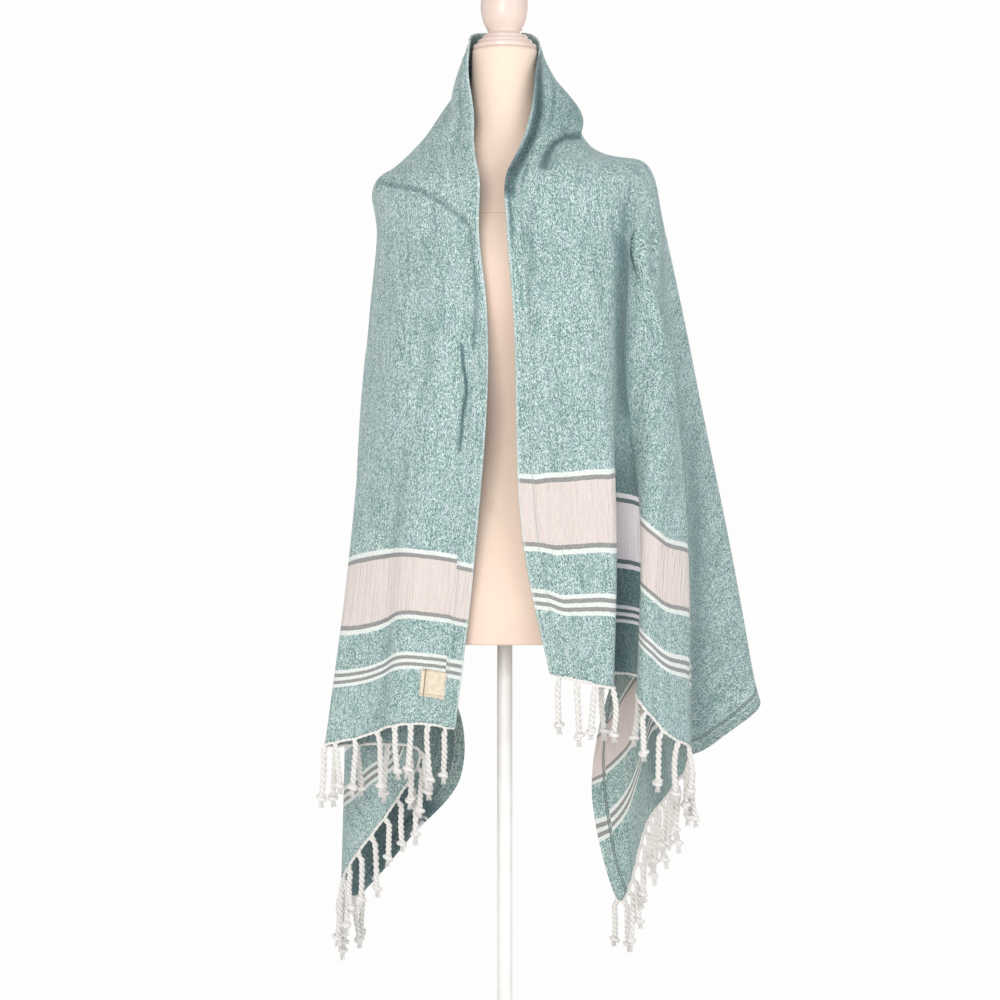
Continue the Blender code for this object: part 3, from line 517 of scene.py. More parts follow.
def cotton_tape():
    """Unbleached cotton tape, woven close: the blank sewn label, matt cream."""
    made, tree, shader = start_material("cotton_tape", Roughness=0.85, IOR=1.47)
    place = add(tree, "UVMap", uv_map="flat")
    along = add(tree, "SeparateXYZ", place, out="X")
    across = add(tree, "SeparateXYZ", place, out="Y")
    rib = add(tree, "Math SINE", add(tree, "Math MULTIPLY", along, TURN / 0.0012))
    clouds = add(tree, "Mapping", place, Scale=(1 / 0.006, 1 / 0.006, 1))
    cloud = add(tree, "TexNoise", clouds, 1.0, 3.0)
    tone = add(tree, "MapRange SMOOTHSTEP", cloud, 0.35, 0.7)
    colour = add(tree, "Mix RGBA", tone, linear("#DCCFBC"), linear("#D0C0A8"))
    # Painted shade: a dark line in the fold, and darker bands at both ends, where the label's thickness
    # casts shadow
    fold = add(tree, "Math COMPARE", across, LABEL_FOLD, 0.0009)
    far_edge = add(tree, "Math COMPARE", along, LABEL_ALONG[1], 0.0013)
    near_edge = add(tree, "Math COMPARE", along, LABEL_ALONG[0] + 0.0045, 0.0006)
    rim = add(tree, "Math ADD", far_edge, near_edge)
    colour = add(tree, "Mix RGBA", add(tree, "Math MULTIPLY", fold, 0.70), colour, linear("#6E6250"))
    colour = add(tree, "Mix RGBA", add(tree, "Math MULTIPLY", rim, 0.40), colour, linear("#8A7C66"))
    tree.links.new(colour, shader.inputs["Base Color"])
    height = add(tree, "Math MULTIPLY_ADD", rib, 0.3, cloud)
    bump = add(tree, "Bump", Strength=0.4, Distance=0.0003, Height=height)
    tree.links.new(bump, shader.inputs["Normal"])
    return made


def cotton_jersey():
    """Cotton jersey pulled over a padded form: peach cream, finely ribbed, with a few pin marks."""
    made, tree, shader = start_material(
        "cotton_jersey", Roughness=0.80, IOR=1.46, Sheen_Weight=0.20, Sheen_Roughness=0.5,
    )
    body = add(tree, "TexCoord", out="Object")
    above_floor = add(tree, "SeparateXYZ", body, out="Z")
    cloud = add(tree, "TexNoise", body, 9.0, 3.0)
    cloud = add(tree, "MapRange SMOOTHSTEP", cloud, 0.35, 0.7)
    colour = add(tree, "Mix RGBA", cloud, linear("#E7D0BE"), linear("#E3C8B8"))
    blotch = add(tree, "TexNoise", body, 38.0, 2.0)
    blotch = add(tree, "MapRange SMOOTHSTEP", blotch, 0.62, 0.78, 0.0, 0.30)
    colour = add(tree, "Mix RGBA", blotch, colour, linear("#DAB8A8"))
    pins = add(tree, "TexVoronoi", body, Scale=34.0)
    pins = add(tree, "MapRange SMOOTHSTEP", pins, 0.050, 0.020, 0.0, 0.35)
    colour = add(tree, "Mix RGBA", pins, colour, linear("#BE9C8B"))
    seam = add(tree, "Math COMPARE", above_floor, SEAM_HEIGHT, 0.0007)
    colour = add(tree, "Mix RGBA", add(tree, "Math MULTIPLY", seam, 0.55), colour, linear("#C9A796"))
    tree.links.new(colour, shader.inputs["Base Color"])
    rows = add(tree, "Math SINE", add(tree, "Math MULTIPLY", above_floor, TURN / 0.0016))
    grain = add(tree, "TexNoise", body, 620.0, 2.0)
    height = add(tree, "Math MULTIPLY_ADD", rows, 0.25, grain)
    bump = add(tree, "Bump", Strength=0.35, Distance=0.0004, Height=height)
    tree.links.new(bump, shader.inputs["Normal"])
    return made


def painted(name, pale, shade_and_worn_tone, rough):
    """Satin paint brushed over turned wood or iron: smooth, faintly uneven, yellowed in soft patches."""
    made, tree, shader = start_material(name, IOR=1.50, Coat_Weight=0.25, Coat_Roughness=0.25)
    body = add(tree, "TexCoord", out="Object")
    cloud = add(tree, "TexNoise", body, 24.0, 4.0, 0.6)
    tone = add(tree, "MapRange SMOOTHSTEP", cloud, 0.35, 0.75)
    colour = add(tree, "Mix RGBA", tone, linear(pale), linear(shade_and_worn_tone))
    tree.links.new(colour, shader.inputs["Base Color"])
    dull = add(tree, "MapRange SMOOTHSTEP", cloud, 0.3, 0.8, rough - 0.05, rough + 0.10)
    tree.links.new(dull, shader.inputs["Roughness"])
    strokes = add(tree, "Mapping", body, Scale=(1 / 0.030, 1 / 0.030, 1 / 0.0016))
    strokes = add(tree, "TexNoise", strokes, 1.0, 2.0)
    bump = add(tree, "Bump", Strength=0.15, Distance=0.0004, Height=strokes)
    tree.links.new(bump, shader.inputs["Normal"])
    return made


def add_piece(name, points, quads, material, uv=None, smooth=True):
    """One object at the origin from arrays of points and faces, with the UV map named flat."""
    mesh = bpy.data.meshes.new(name)
    corners = np.concatenate([np.asarray(q, np.int32).ravel() for q in quads])
    sizes = np.concatenate([np.full(len(q), np.asarray(q).shape[1], np.int32) for q in quads])
    mesh.vertices.add(len(points))
    mesh.vertices.foreach_set("co", np.asarray(points, np.float32).ravel())
    mesh.loops.add(len(corners))
    mesh.loops.foreach_set("vertex_index", corners)
    mesh.polygons.add(len(sizes))
    starts = np.concatenate([[0], np.cumsum(sizes)[:-1]]).astype(np.int32)
    mesh.polygons.foreach_set("loop_start", starts)
    mesh.polygons.foreach_set("loop_total", sizes)
    if uv is not None:
        layer = mesh.uv_layers.new(name="flat")
        layer.data.foreach_set("uv", np.asarray(uv, np.float32)[corners].ravel())
    mesh.update(calc_edges=True)
    if smooth:
        mesh.polygons.foreach_set("use_smooth", np.ones(len(sizes), bool))
    mesh.materials.append(material)
    mesh.validate()
    obj = bpy.data.objects.new(name, mesh)
    bpy.context.scene.collection.objects.link(obj)
    return obj


def add_painted_shade(obj, dark):
    """Painted shade of the cloth, in its creases and on its inner face, as a value at each point."""
    layer = obj.data.attributes.new("painted_shade", "FLOAT", "POINT")
    layer.data.foreach_set("value", np.asarray(dark, np.float32))


def smooth_through(knots, values, at):
    """Cubic curve through the values at their knots, its slope at each knot weighed by both sides."""
    knots, at = np.asarray(knots, float), np.asarray(at, float)
    ones = [1] * (values.ndim - 1)
    steps = np.diff(knots)
    rises = np.diff(values, axis=0) / steps.reshape(-1, *ones)
    slopes = np.empty_like(values)
    slopes[0], slopes[-1] = rises[0], rises[-1]
    before, after = steps[1:].reshape(-1, *ones), steps[:-1].reshape(-1, *ones)
    slopes[1:-1] = (rises[:-1] * before + rises[1:] * after) / (before + after)
    cell = np.clip(np.searchsorted(knots, at, side="right") - 1, 0, len(steps) - 1)
    step = steps[cell].reshape(-1, *ones)
    s = ((at - knots[cell]) / steps[cell]).reshape(-1, *ones)
    return (
        values[cell] * (1 + 2 * s) * (1 - s) ** 2
        + slopes[cell] * step * s * (1 - s) ** 2
        + values[cell + 1] * s**2 * (3 - 2 * s)
        + slopes[cell + 1] * step * s**2 * (s - 1)
    )


def from_view(seen):
    """Real places of points whose x and z were read on the form's middle plane and whose y is known."""
    seen = np.asarray(seen, float)
    nearer = (EYE_FAR + seen[..., 1]) / EYE_FAR
    real = seen.copy()
    real[..., 0] = EYE_X + (seen[..., 0] - EYE_X) * nearer
    real[..., 2] = EYE_Z + (seen[..., 2] - EYE_Z) * nearer
    return real


def collar_point(section, turn):
    """The point of a collar section in the direction of a fall line's turn."""
    row = dict(zip(COLLAR_COLUMNS, COLLAR[section]))
    angle = math.radians(180 + (turn - 180) * row["share"])
    side = math.sin(angle)
    reach_x = row["left"] if side > 0 else row["right"]
    reach_y = row["front"] if math.cos(angle) > 0 else row["back"]
    height = (row["height_left"] + row["height_right"]) / 2
    height += (row["height_left"] - row["height_right"]) / 2 * side
    height += BACK_RISE.get(section, 0) * max(0, -math.cos(angle))
    height += RIGHT_BACK_RISE.get(section, 0) * max(0, -math.cos(angle)) * max(0, -side)
    return (-reach_x * side, -reach_y * math.cos(angle), height)


def fall_stations():
    """The points that each fall line passes through, from the rim to its hem, in metres."""
    lines = []
    for values in FALLS.values():
        row = dict(zip(FALL_COLUMNS, values))
        points = [collar_point(section, row["turn"]) for section in COLLAR]
        points.append((row["chest_x"], row["chest_y"], CHEST_HEIGHT))
        points.append((row["thigh_x"], row["thigh_y"], THIGH_HEIGHT))
        points.append((row["hem_x"], row["hem_y"], row["hem_z"]))
        lines.append(from_view(np.array(points) / 1000))
    return np.array(lines)


def round_the_edge(along, across):
    """Distance round the free edges, from the left front corner to the right front corner."""
    along, across = np.asarray(along, float), np.asarray(across, float)
    left, right = along <= 0, along >= LENGTH
    return np.where(left, across, np.where(right, WIDTH + LENGTH + (WIDTH - across), WIDTH + along))


def edge_end(distance):
    """Flat measures of the point at a distance round the free edges."""
    along = np.clip(distance - WIDTH, 0, LENGTH)
    across = np.minimum(distance, ROUND - distance)
    return along, np.clip(across, 0, WIDTH)


class Drape:
    """The hung cloth as a surface over distance round the edge and share of the way down a fall line."""

    edge_samples, fall_samples = 1400, 420

    def __init__(self):
        flat = np.array([values[:2] for values in FALLS.values()], float) / 1000
        knots = round_the_edge(flat[:, 0], flat[:, 1])
        down = np.linspace(0, 1, self.fall_samples)
        lines = []
        for stations in fall_stations():
            steps = np.linalg.norm(np.diff(stations, axis=0), axis=1)
            reached = np.concatenate([[0], np.cumsum(steps)]) / steps.sum()
            lines.append(smooth_through(reached, stations, down))
        self.table = smooth_through(knots, np.array(lines), np.linspace(0, ROUND, self.edge_samples))

    def find(self, along, across):
        """Distance round the edge and share down the fall line that passes through a flat point.

        On the flat cloth a fall line starts at the rim and bows towards its own end: across is its
        end's measure times 1 - (1 - share) ** bow, and along runs evenly. The front ones bow most.
        """
        across = np.maximum(across, 1e-5)
        low, high = np.zeros_like(along), np.full_like(along, ROUND)
        for _ in range(SEARCH_ROUNDS):
            middle = (low + high) / 2
            line_along, share, short = self.fall_line(middle, across)
            further = np.where(short, middle < ROUND / 2, line_along < along)
            low, high = np.where(further, middle, low), np.where(further, high, middle)
        edge = (low + high) / 2
        share = self.fall_line(edge, across)[1]
        start, end_along = RIM_START + (RIM_END - RIM_START) * edge / ROUND, edge_end(edge)[0]
        run = end_along - start
        steep = np.abs(run) > STEEP_RUN
        share = np.where(steep, np.clip((along - start) / np.where(steep, run, 1), 0, 1), share)
        free = (along <= 0) | (along >= LENGTH) | (across >= WIDTH)
        return np.where(free, round_the_edge(along, across), edge), np.where(free, 1.0, share)

    def fall_line(self, edge, across):
        """Where a fall line reaches an across measure: its along measure, its share of the fall line,
        and if the line is too short."""
        start = RIM_START + (RIM_END - RIM_START) * edge / ROUND
        end_along, end_across = edge_end(edge)
        bow = BOW_BACK + (BOW_FRONT - BOW_BACK) * np.exp(-np.minimum(edge, ROUND - edge) / BOW_FADE)
        reach = np.minimum(across / np.maximum(end_across, 1e-9), 1)
        share = 1 - (1 - reach) ** (1 / bow)
        return start + (end_along - start) * share, share, across > end_across

    def at(self, along, across):
        """Places of flat points on the surface."""
        edge, down = self.find(along, across)
        round_it = edge / ROUND * (self.edge_samples - 1)
        return read_grid(self.table, round_it, down * (self.fall_samples - 1))


def read_grid(values, i, j):
    """Values of a grid at row i and column j, which may lie between its own, from the four nearest."""
    i0 = np.clip(np.floor(i).astype(int), 0, values.shape[0] - 2)
    j0 = np.clip(np.floor(j).astype(int), 0, values.shape[1] - 2)
    a, b = (i - i0)[..., None], (j - j0)[..., None]
    return (
        (values[i0, j0] * (1 - b) + values[i0, j0 + 1] * b) * (1 - a)
        + (values[i0 + 1, j0] * (1 - b) + values[i0 + 1, j0 + 1] * b) * a
    )


def gentle(share):
    """A share from 0 to 1 that starts and stops softly: three of its squares less two of its cubes."""
    return share * share * (3 - 2 * share)


def squared_off(wave, power):
    """A cosine or sine to a power below 1, its sign kept, which squares a circle off."""
    return np.sign(wave) * np.abs(wave) ** power


def spaced(spans, end):
    """Grid lines through spans that each have their own spacing, with the spacing eased at the joins."""
    starts = [start for start, _ in spans] + [end]
    counts = np.cumsum([0] + [count for _, count in spans])
    lines = np.interp(np.arange(counts[-1] + 1), counts, starts)
    for _ in range(SPACING_ROUNDS):
        lines[1:-1] = (lines[:-2] + 2 * lines[1:-1] + lines[2:]) / 4
    return lines


def unit(vectors):
    """Each vector over its own length."""
    return vectors / np.linalg.norm(vectors, axis=-1, keepdims=True)


def grid_normals(grid):
    """Unit normals of a grid of points, facing out of the wrap."""
    return unit(np.cross(np.gradient(grid, axis=0), np.gradient(grid, axis=1)))


def crease_field(creases, along, across):
    """Lift and painted shade that some creases give a flat point.

    A crease is a hump over the distance to its line: e to the minus distance over half width, to a
    power, fading at both ends. Lifts add up, and the darkest crease at a point counts.
    """
    lift, dark = np.zeros_like(along), np.zeros_like(along)
    for values in creases.values():
        row = dict(zip(CREASE_COLUMNS, values))
        knots = np.array(row["line"], float).reshape(-1, 2) / 1000
        runs = np.diff(knots, axis=0)
        lengths = np.linalg.norm(runs, axis=1)
        done, far, share = 0.0, np.full_like(along, np.inf), np.zeros_like(along)
        for knot, run, length in zip(knots, runs, lengths):
            part = ((along - knot[0]) * run[0] + (across - knot[1]) * run[1]) / length**2
            near = np.clip(part, 0, 1)
            gap = np.hypot(along - knot[0] - near * run[0], across - knot[1] - near * run[1])
            share = np.where(gap < far, (done + near * length) / lengths.sum(), share)
            far = np.minimum(gap, far)
            done += length
        fade = np.sin(math.pi * (0.15 + 0.7 * share)) ** 0.5
        power = DEEP_POWER if abs(row["lift"]) > DEEP else SOFT_POWER
        hump = fade * np.exp(-((far * 1000 / row["wide"]) ** power))
        lift += row["lift"] / 1000 * hump
        dark = np.maximum(dark, row["dark"] / 1000 * hump)
    return lift, dark


def creased(grid, along, across):
    """The surface lifted along its normals by the creases, and its painted shade at each point."""
    lift, dark = crease_field(CREASES, along, across)
    return grid + grid_normals(grid) * lift[..., None], dark


def pulled(along, across):
    """The along measure of the weave at each point, with the pull of its end of the towel added."""
    def pull(rows, end):
        """The pull of one end: a curve across, and a soft step from stop to stop along."""
        places = np.array(list(rows), float) / 1000
        stops = np.array(PULL_ALONG, float) / 1000
        table = np.array(list(rows.values()), float) / 1000
        fine = smooth_through(places, table, np.ravel(across))
        cell = np.clip(np.searchsorted(stops, np.ravel(end), side="right") - 1, 0, len(stops) - 2)
        share = np.clip((np.ravel(end) - stops[cell]) / (stops[cell + 1] - stops[cell]), 0, 1)
        share = gentle(share)
        row = np.arange(len(cell))
        return (fine[row, cell] * (1 - share) + fine[row, cell + 1] * share).reshape(along.shape)

    return along + pull(PULL_LEFT, along) - pull(PULL_RIGHT, LENGTH - along)


def from_edges(grid):
    """How far each point lies from the front edge and from the lower edge, measured over the cloth."""
    gone = np.pad(np.cumsum(np.linalg.norm(np.diff(grid, axis=1), axis=2), axis=1), ((0, 0), (1, 0)))
    return gone, gone[:, -1:] - gone


def laid(across, from_front, from_lower):
    """The across measure of the weave, counted from both long edges as the cloth really lies.

    So threads and hem stitching stay even where the drape is spread. The distance from the front
    edge gives way smoothly to the one from the lower edge.
    """
    share = gentle(across / WIDTH)
    return from_front * (1 - share) + (WIDTH - from_lower) * share


def form_sizes(height):
    """Half width, depth in front, depth behind and squareness of the form at each height."""
    sections = np.array(FORM_RINGS)
    flat = np.clip(np.ravel(height), FORM_BOTTOM, NECK_TOP)
    return smooth_through(sections[:, 0], sections[:, 1:], flat).reshape(*np.shape(height), 4)


def push_clear(grid, clearance):
    """Moves points nearer to the form than the clearance out along its side.

    At a point's height the form is a rounded oval. The point's radius over the oval's in the same
    direction gives the gap, which is turned square to the form's slope there.
    """
    step = 0.002
    x, y, z = grid[..., 0], grid[..., 1], grid[..., 2]

    def radius(height):
        """The form's own radius in each point's direction at a height."""
        sizes = form_sizes(height)
        deep = np.where(y < 0, sizes[..., 1], sizes[..., 2])
        square = sizes[..., 3]
        scale = (np.abs(x / sizes[..., 0]) ** square + np.abs(y / deep) ** square) ** (1 / square)
        return np.hypot(x, y) / np.maximum(scale, 1e-6)

    here = radius(z)
    slope = (radius(z + step) - radius(z - step)) / (2 * step)
    level = 1 / np.sqrt(1 + slope**2)
    gap = (np.hypot(x, y) - here) * level
    inside = (z > FORM_BOTTOM - 0.004) & (gap < clearance)
    move = np.where(inside, clearance - gap, 0)[..., None]
    outward = unit(np.stack([x, y, np.zeros_like(x)], -1)) * level[..., None]
    outward[..., 2] = -slope * level
    return grid + outward * move


def eased(grid, rounds, share):
    """The grid with each inner point drawn towards the middle of its four neighbours."""
    soft = grid.copy()
    for _ in range(rounds):
        middle = (soft[:-2, 1:-1] + soft[2:, 1:-1] + soft[1:-1, :-2] + soft[1:-1, 2:]) / 4
        soft[1:-1, 1:-1] += share * (middle - soft[1:-1, 1:-1])
    return soft


def wall_between(outer, inner, uv):
    """Points, quads and UV of a closed wall between two grids of the same size."""
    rows, columns = outer.shape[:2]
    count = rows * columns
    index = np.arange(count).reshape(rows, columns)
    a, b = index[:-1, :-1].ravel(), index[1:, :-1].ravel()
    c, d = index[1:, 1:].ravel(), index[:-1, 1:].ravel()
    loop = np.concatenate([index[:-1, 0], index[-1, :-1], index[:0:-1, -1], index[0, :0:-1]])
    after = np.roll(loop, -1)
    quads = np.concatenate([
        np.stack([a, b, c, d], 1), np.stack([a, d, c, b], 1) + count,
        np.stack([after, loop, loop + count, after + count], 1),
    ])
    points = np.concatenate([outer.reshape(-1, 3), inner.reshape(-1, 3)])
    flat = uv.reshape(-1, 2)
    return points, [quads], np.concatenate([flat, flat])


def ring_faces(index):
    """Quads between each ring of points and the next, the last point of a ring joined to its first."""
    a, b = index[..., :-1, :], index[..., 1:, :]
    return np.stack([a, np.roll(a, -1, -1), np.roll(b, -1, -1), b], axis=-1).reshape(-1, 4)


def tubes(paths, radii, facing, sides):
    """Round strands along many paths at once, their ends closed.

    A ring of points is set square to the path at each of its points: cosine times a side direction
    plus sine times the direction square to it. UV is the measure round and the measure along.
    """
    strands, stops = paths.shape[:2]
    forward = unit(np.gradient(paths, axis=1))
    side = unit(np.cross(forward, np.broadcast_to(facing, forward.shape)))
    other = np.cross(forward, side)
    angle = np.linspace(0, TURN, sides, endpoint=False)
    ring = side[:, :, None] * np.cos(angle)[:, None] + other[:, :, None] * np.sin(angle)[:, None]
    points = paths[:, :, None] + ring * np.broadcast_to(radii, (strands, stops))[:, :, None, None]
    steps = np.linalg.norm(np.diff(paths, axis=1), axis=-1)
    run = np.concatenate([np.zeros((strands, 1)), np.cumsum(steps, axis=1)], axis=1)
    round_about = angle * np.max(radii)
    uv = np.stack(np.broadcast_arrays(round_about[None, None, :], run[:, :, None]), axis=-1)
    index = np.arange(strands * stops * sides).reshape(strands, stops, sides)
    ends = [index[:, 0, ::-1], index[:, -1]]
    return points.reshape(-1, 3), [ring_faces(index), *ends], uv.reshape(-1, 2)


def joined(parts):
    """Several lots of points, faces and UV as one."""
    points, faces, uv, count = [], [], [], 0
    for lot_points, lot_faces, lot_uv in parts:
        points.append(lot_points)
        faces += [face + count for face in lot_faces]
        uv.append(lot_uv)
        count += len(lot_points)
    return np.concatenate(points), faces, np.concatenate(uv)


def hem_band(grid, normals, along, reach, side):
    """A folded hem: a flat rounded section carried along a long edge of the cloth, on one face of it.

    reach is each point's distance from that edge, by which the section's own width is measured off.
    The section is a squarish oval, its width HEM_WIDE and thickness HEM_THICK. Its edge lies just
    past the cloth's own, its underside is buried in the cloth, and it puckers with slow waves.
    """
    first = side > 0
    edge, inner = (grid[:, 0], grid[:, 4]) if first else (grid[:, -1], grid[:, -4])
    face = (normals[:, 0] if first else normals[:, -1]) * side
    turns = np.linspace(0, TURN, HEM_SIDES, endpoint=False)
    wide, high = squared_off(np.cos(turns), HEM_SQUARE[0]), squared_off(np.sin(turns), HEM_SQUARE[1])
    share = 0.5 - wide * 0.5
    rows, last = np.arange(len(grid)), grid.shape[1] - 1
    columns = np.arange(HEM_COLUMNS) if first else last - np.arange(HEM_COLUMNS)
    lip = unit(edge - inner) * HEM_LIP
    measure = share * (HEM_WIDE + HEM_LIP) - HEM_LIP
    # Puckers 22 mm long that come and go, with finer ones 9 mm long over them
    pucker = 1 + 0.45 * np.sin(along * 290) * np.sin(along * 83 + 1) + 0.22 * np.sin(along * 730)
    rings = []
    for at, lift in zip(measure, high):
        if at < 0:
            base = edge + lip * (-at / HEM_LIP)
            out = face
        else:
            k = np.array([np.interp(at, row, np.arange(HEM_COLUMNS)) for row in reach[:, columns]])
            low = np.minimum(k.astype(int), HEM_COLUMNS - 2)
            part = (k - low)[:, None]
            base = grid[rows, columns[low]] * (1 - part) + grid[rows, columns[low + 1]] * part
            out = normals[rows, columns[low]] * side
        groove = 1 - STITCH_SINK * math.exp(-((at - STITCH_AT) / STITCH_WIDE) ** 2)
        rise = lift * groove * pucker if lift > 0 else np.full_like(pucker, lift * HEM_BURIED)
        rings.append(base + out * (HEM_THICK / 2 * (1 + rise) - WALL / 2)[:, None])
    points = np.stack(rings, axis=1)
    sides = len(turns)
    index = np.arange(points.shape[0] * sides).reshape(-1, sides)
    quads = ring_faces(index) if first else ring_faces(index)[:, ::-1]
    ends = [index[:1, ::-1], index[-1:]] if first else [index[:1], index[-1:, ::-1]]
    # The turned layer lies a few millimetres off the stripes beneath it, most on the left half
    shift = (0.004 + 0.003 * np.sin(along * 41)) * np.clip((1.2 - along) / 0.3, 0.1, 1)
    u = np.repeat((pulled(along, 0 * along + (0 if first else WIDTH)) + shift)[:, None], sides, 1)
    v = np.abs(measure) if first else WIDTH - np.abs(measure)
    v = np.broadcast_to(v, u.shape)
    # Painted shade of the creases, and on the lower hem that of the inner face too
    shades = CREASES if side > 0 else {**CREASES, **INNER_SHADES}
    dark = crease_field(shades, np.repeat(along[:, None], sides, 1), v)[1]
    return points.reshape(-1, 3), [quads, *ends], np.stack([u, v], -1).reshape(-1, 2), dark.ravel()


def fringe_places(across):
    """Middles of the tassels, moved off the bends of the solid's strip as they are there."""
    middles = (np.arange(TASSELS) + 0.5) / TASSELS * WIDTH
    bends = across[np.argmin(np.abs(middles[:, None] - across), axis=1)]
    room = TASSEL_WIDE / 2 + BEND_ROOM
    near = np.abs(middles - bends) < room
    return np.where(near, bends + np.where(middles < bends, -room, room), middles)


def solid_across_lines():
    """The lines of the solid's coarser grid across the towel."""
    front = [0, 0.018, 0.034, 0.052, 0.073, 0.095, 0.112, 0.128, 0.145, 0.164, 0.186, 0.208, 0.230]
    return np.concatenate([front, np.linspace(0.255, WIDTH - 0.018, 15), [WIDTH]])


def fringe(name, edge, outward, normals, across, material):
    """Tassels of two strands twisted together, each with a knot and a frayed end, on a rolled edge.

    A tassel's axis leaves the edge, turns down and hangs with a small sway. Its two strands circle
    the axis: cosine and sine of an angle that grows evenly down it. They part at the top, where the
    warp threads gather, and meet a knot, which is a strand wound twice round the axis.
    """
    middles = fringe_places(solid_across_lines())

    def along_edge(values, at):
        """Values of the edge's grid points, read at measures across."""
        return np.stack([np.interp(at, across, values[:, k]) for k in range(3)], axis=-1)

    number = np.arange(TASSELS)
    root = along_edge(edge, middles)
    face = unit(along_edge(normals, middles))
    way = unit(along_edge(edge, middles + 0.003) - along_edge(edge, middles - 0.003))
    out = np.cross(face, way)
    out *= np.sign(np.sum(out * along_edge(outward, middles), axis=1, keepdims=True))
    root = root + out * (BACKING_GAP + BACKING_DEEP / 2)
    sway = np.stack([np.sin(number * 2.3), np.cos(number * 1.7), 0 * number], 1) * SWAY
    long = TASSEL_LONG * (1 + UNEVEN * np.sin(number * 1.9))

    def axis(share):
        """Points of every tassel's axis at shares of its length."""
        gone = share[None, :] * long[:, None]
        led = np.minimum(gone, LED_OUT)
        bend = np.sin(share * math.pi)[None, :] * BEND * np.sin(number * 3.1)[:, None]
        curl = np.sin(share * math.pi * 1.6)[None, :] * CURL * np.sin(number * 4.3 + 1)[:, None]
        return (
            root[:, None] + (out * LED_WAY[0] + DOWN * LED_WAY[1])[:, None] * led[..., None]
            + (DOWN + sway)[:, None] * (gone - led)[..., None]
            + way[:, None] * bend[..., None] + face[:, None] * curl[..., None]
        )

    parts = []
    share = np.linspace(*STRAND_SPAN, 60)
    hang = axis(share)
    flat_way = unit(way * (1, 1, 0))
    flat_face = unit(np.cross(flat_way, DOWN))
    gather = np.clip(1 - (share - STRAND_SPAN[0]) / GATHER_LONG, 0, 1) ** 2

    def circled(line, angle, radius):
        """Points at an angle and a distance round a line."""
        return (
            line + flat_way[:, None] * (np.cos(angle) * radius)[..., None]
            + flat_face[:, None] * (np.sin(angle) * radius)[..., None]
        )

    for strand in (0, math.pi):
        angle = strand + share * TURN * STRAND_TURNS + number[:, None] * 0.9
        turn = STRAND_CIRCLE * (1 - gather)[None, :]
        apart = gather * GATHER_APART * (1 if strand else -1)
        path = (
            circled(hang, angle, turn) + way[:, None] * apart[None, :, None]
            - out[:, None] * (gather * GATHER_BACK)[None, :, None]
        )
        parts.append(tubes(path, STRAND_ROUND - GATHER_THIN * gather, flat_face[:, None], 8))

    turn = np.linspace(0, 1, 34)
    angle = turn * TURN * KNOT_TURNS + number[:, None] * 1.3
    middle = axis(np.array([KNOT_AT]))
    slide = KNOT_HIGH * (1 - 2 * turn)[None, :] + 0.0013 * np.sin(angle + 0.7)
    wound = (KNOT_CIRCLE[0] + KNOT_CIRCLE[1] * np.sin(math.pi * turn))[None, :]
    thick = KNOT_ROUND[0] + KNOT_ROUND[1] * np.sin(math.pi * np.clip(turn, 0.06, 0.94))
    parts.append(tubes(circled(middle, angle, wound) - DOWN * slide[..., None], thick, DOWN, 8))

    share = np.linspace(*FRAY_SPAN, 7)
    hang = axis(share)
    spread = np.linspace(0, 1, 7)
    for thread in range(FRAY_THREADS):
        lean = thread * TURN / FRAY_THREADS + number * 0.7
        wide = (FRAY_START + (FRAY_SPREAD + FRAY_UNEVEN * math.sin(thread * 2.1)) * spread)[None, :]
        path = circled(hang, lean[:, None], wide)
        parts.append(tubes(path, FRAY_ROUND[0] - FRAY_ROUND[1] * spread, flat_face[:, None], 5))

    stops = np.linspace(0.0006, WIDTH - 0.0006, 460)
    line = along_edge(edge, stops)
    line_face = unit(along_edge(normals, stops))
    line_out = np.cross(line_face, np.gradient(line, axis=0))
    line_out *= np.sign(np.sum(line_out * along_edge(outward, stops), axis=1, keepdims=True))
    near = np.min(np.abs(stops[:, None] - middles), axis=1)
    dip = ROLL_DIP * np.exp(-((near / 0.0040) ** 2))
    cord = line + unit(line_out) * (ROLL_OUT + dip)[:, None]
    parts.append(tubes(cord[None], ROLL_ROUND + 0.0004 * np.sin(stops * 900)[None], line_face[None], 8))
    points, faces, uv = joined(parts)
    return add_piece(name, points, faces, material, uv)


def lathe(name, profile, material, sides=96):
    """A turned piece: each point of the profile, radius and height, carried round the upright axis."""
    angle = np.linspace(0, TURN, sides, endpoint=False)
    radius, height = np.array(profile, float).T
    points = np.stack(np.broadcast_arrays(
        radius[:, None] * np.cos(angle), radius[:, None] * np.sin(angle), height[:, None],
    ), axis=-1)
    index = np.arange(len(radius) * sides).reshape(-1, sides)
    faces = [ring_faces(index), index[:1, ::-1], index[-1:]]
    return add_piece(name, points.reshape(-1, 3), faces, material)


def rounded(corners, radius, steps=6):
    """A profile with each inner corner turned into a short arc: a curve drawn to the corner between
    the points a radius before and after it."""
    corners = np.array(corners, float)
    points = [corners[0]]
    for before, here, after in zip(corners, corners[1:], corners[2:]):
        reach = min(radius, np.linalg.norm(here - before) / 2, np.linalg.norm(after - here) / 2)
        start = here + (before - here) / np.linalg.norm(before - here) * reach
        end = here + (after - here) / np.linalg.norm(after - here) * reach
        t = np.linspace(0, 1, steps)[:, None]
        points += list(start * (1 - t) ** 2 + here * 2 * t * (1 - t) + end * t**2)
    points.append(corners[-1])
    return np.array(points)


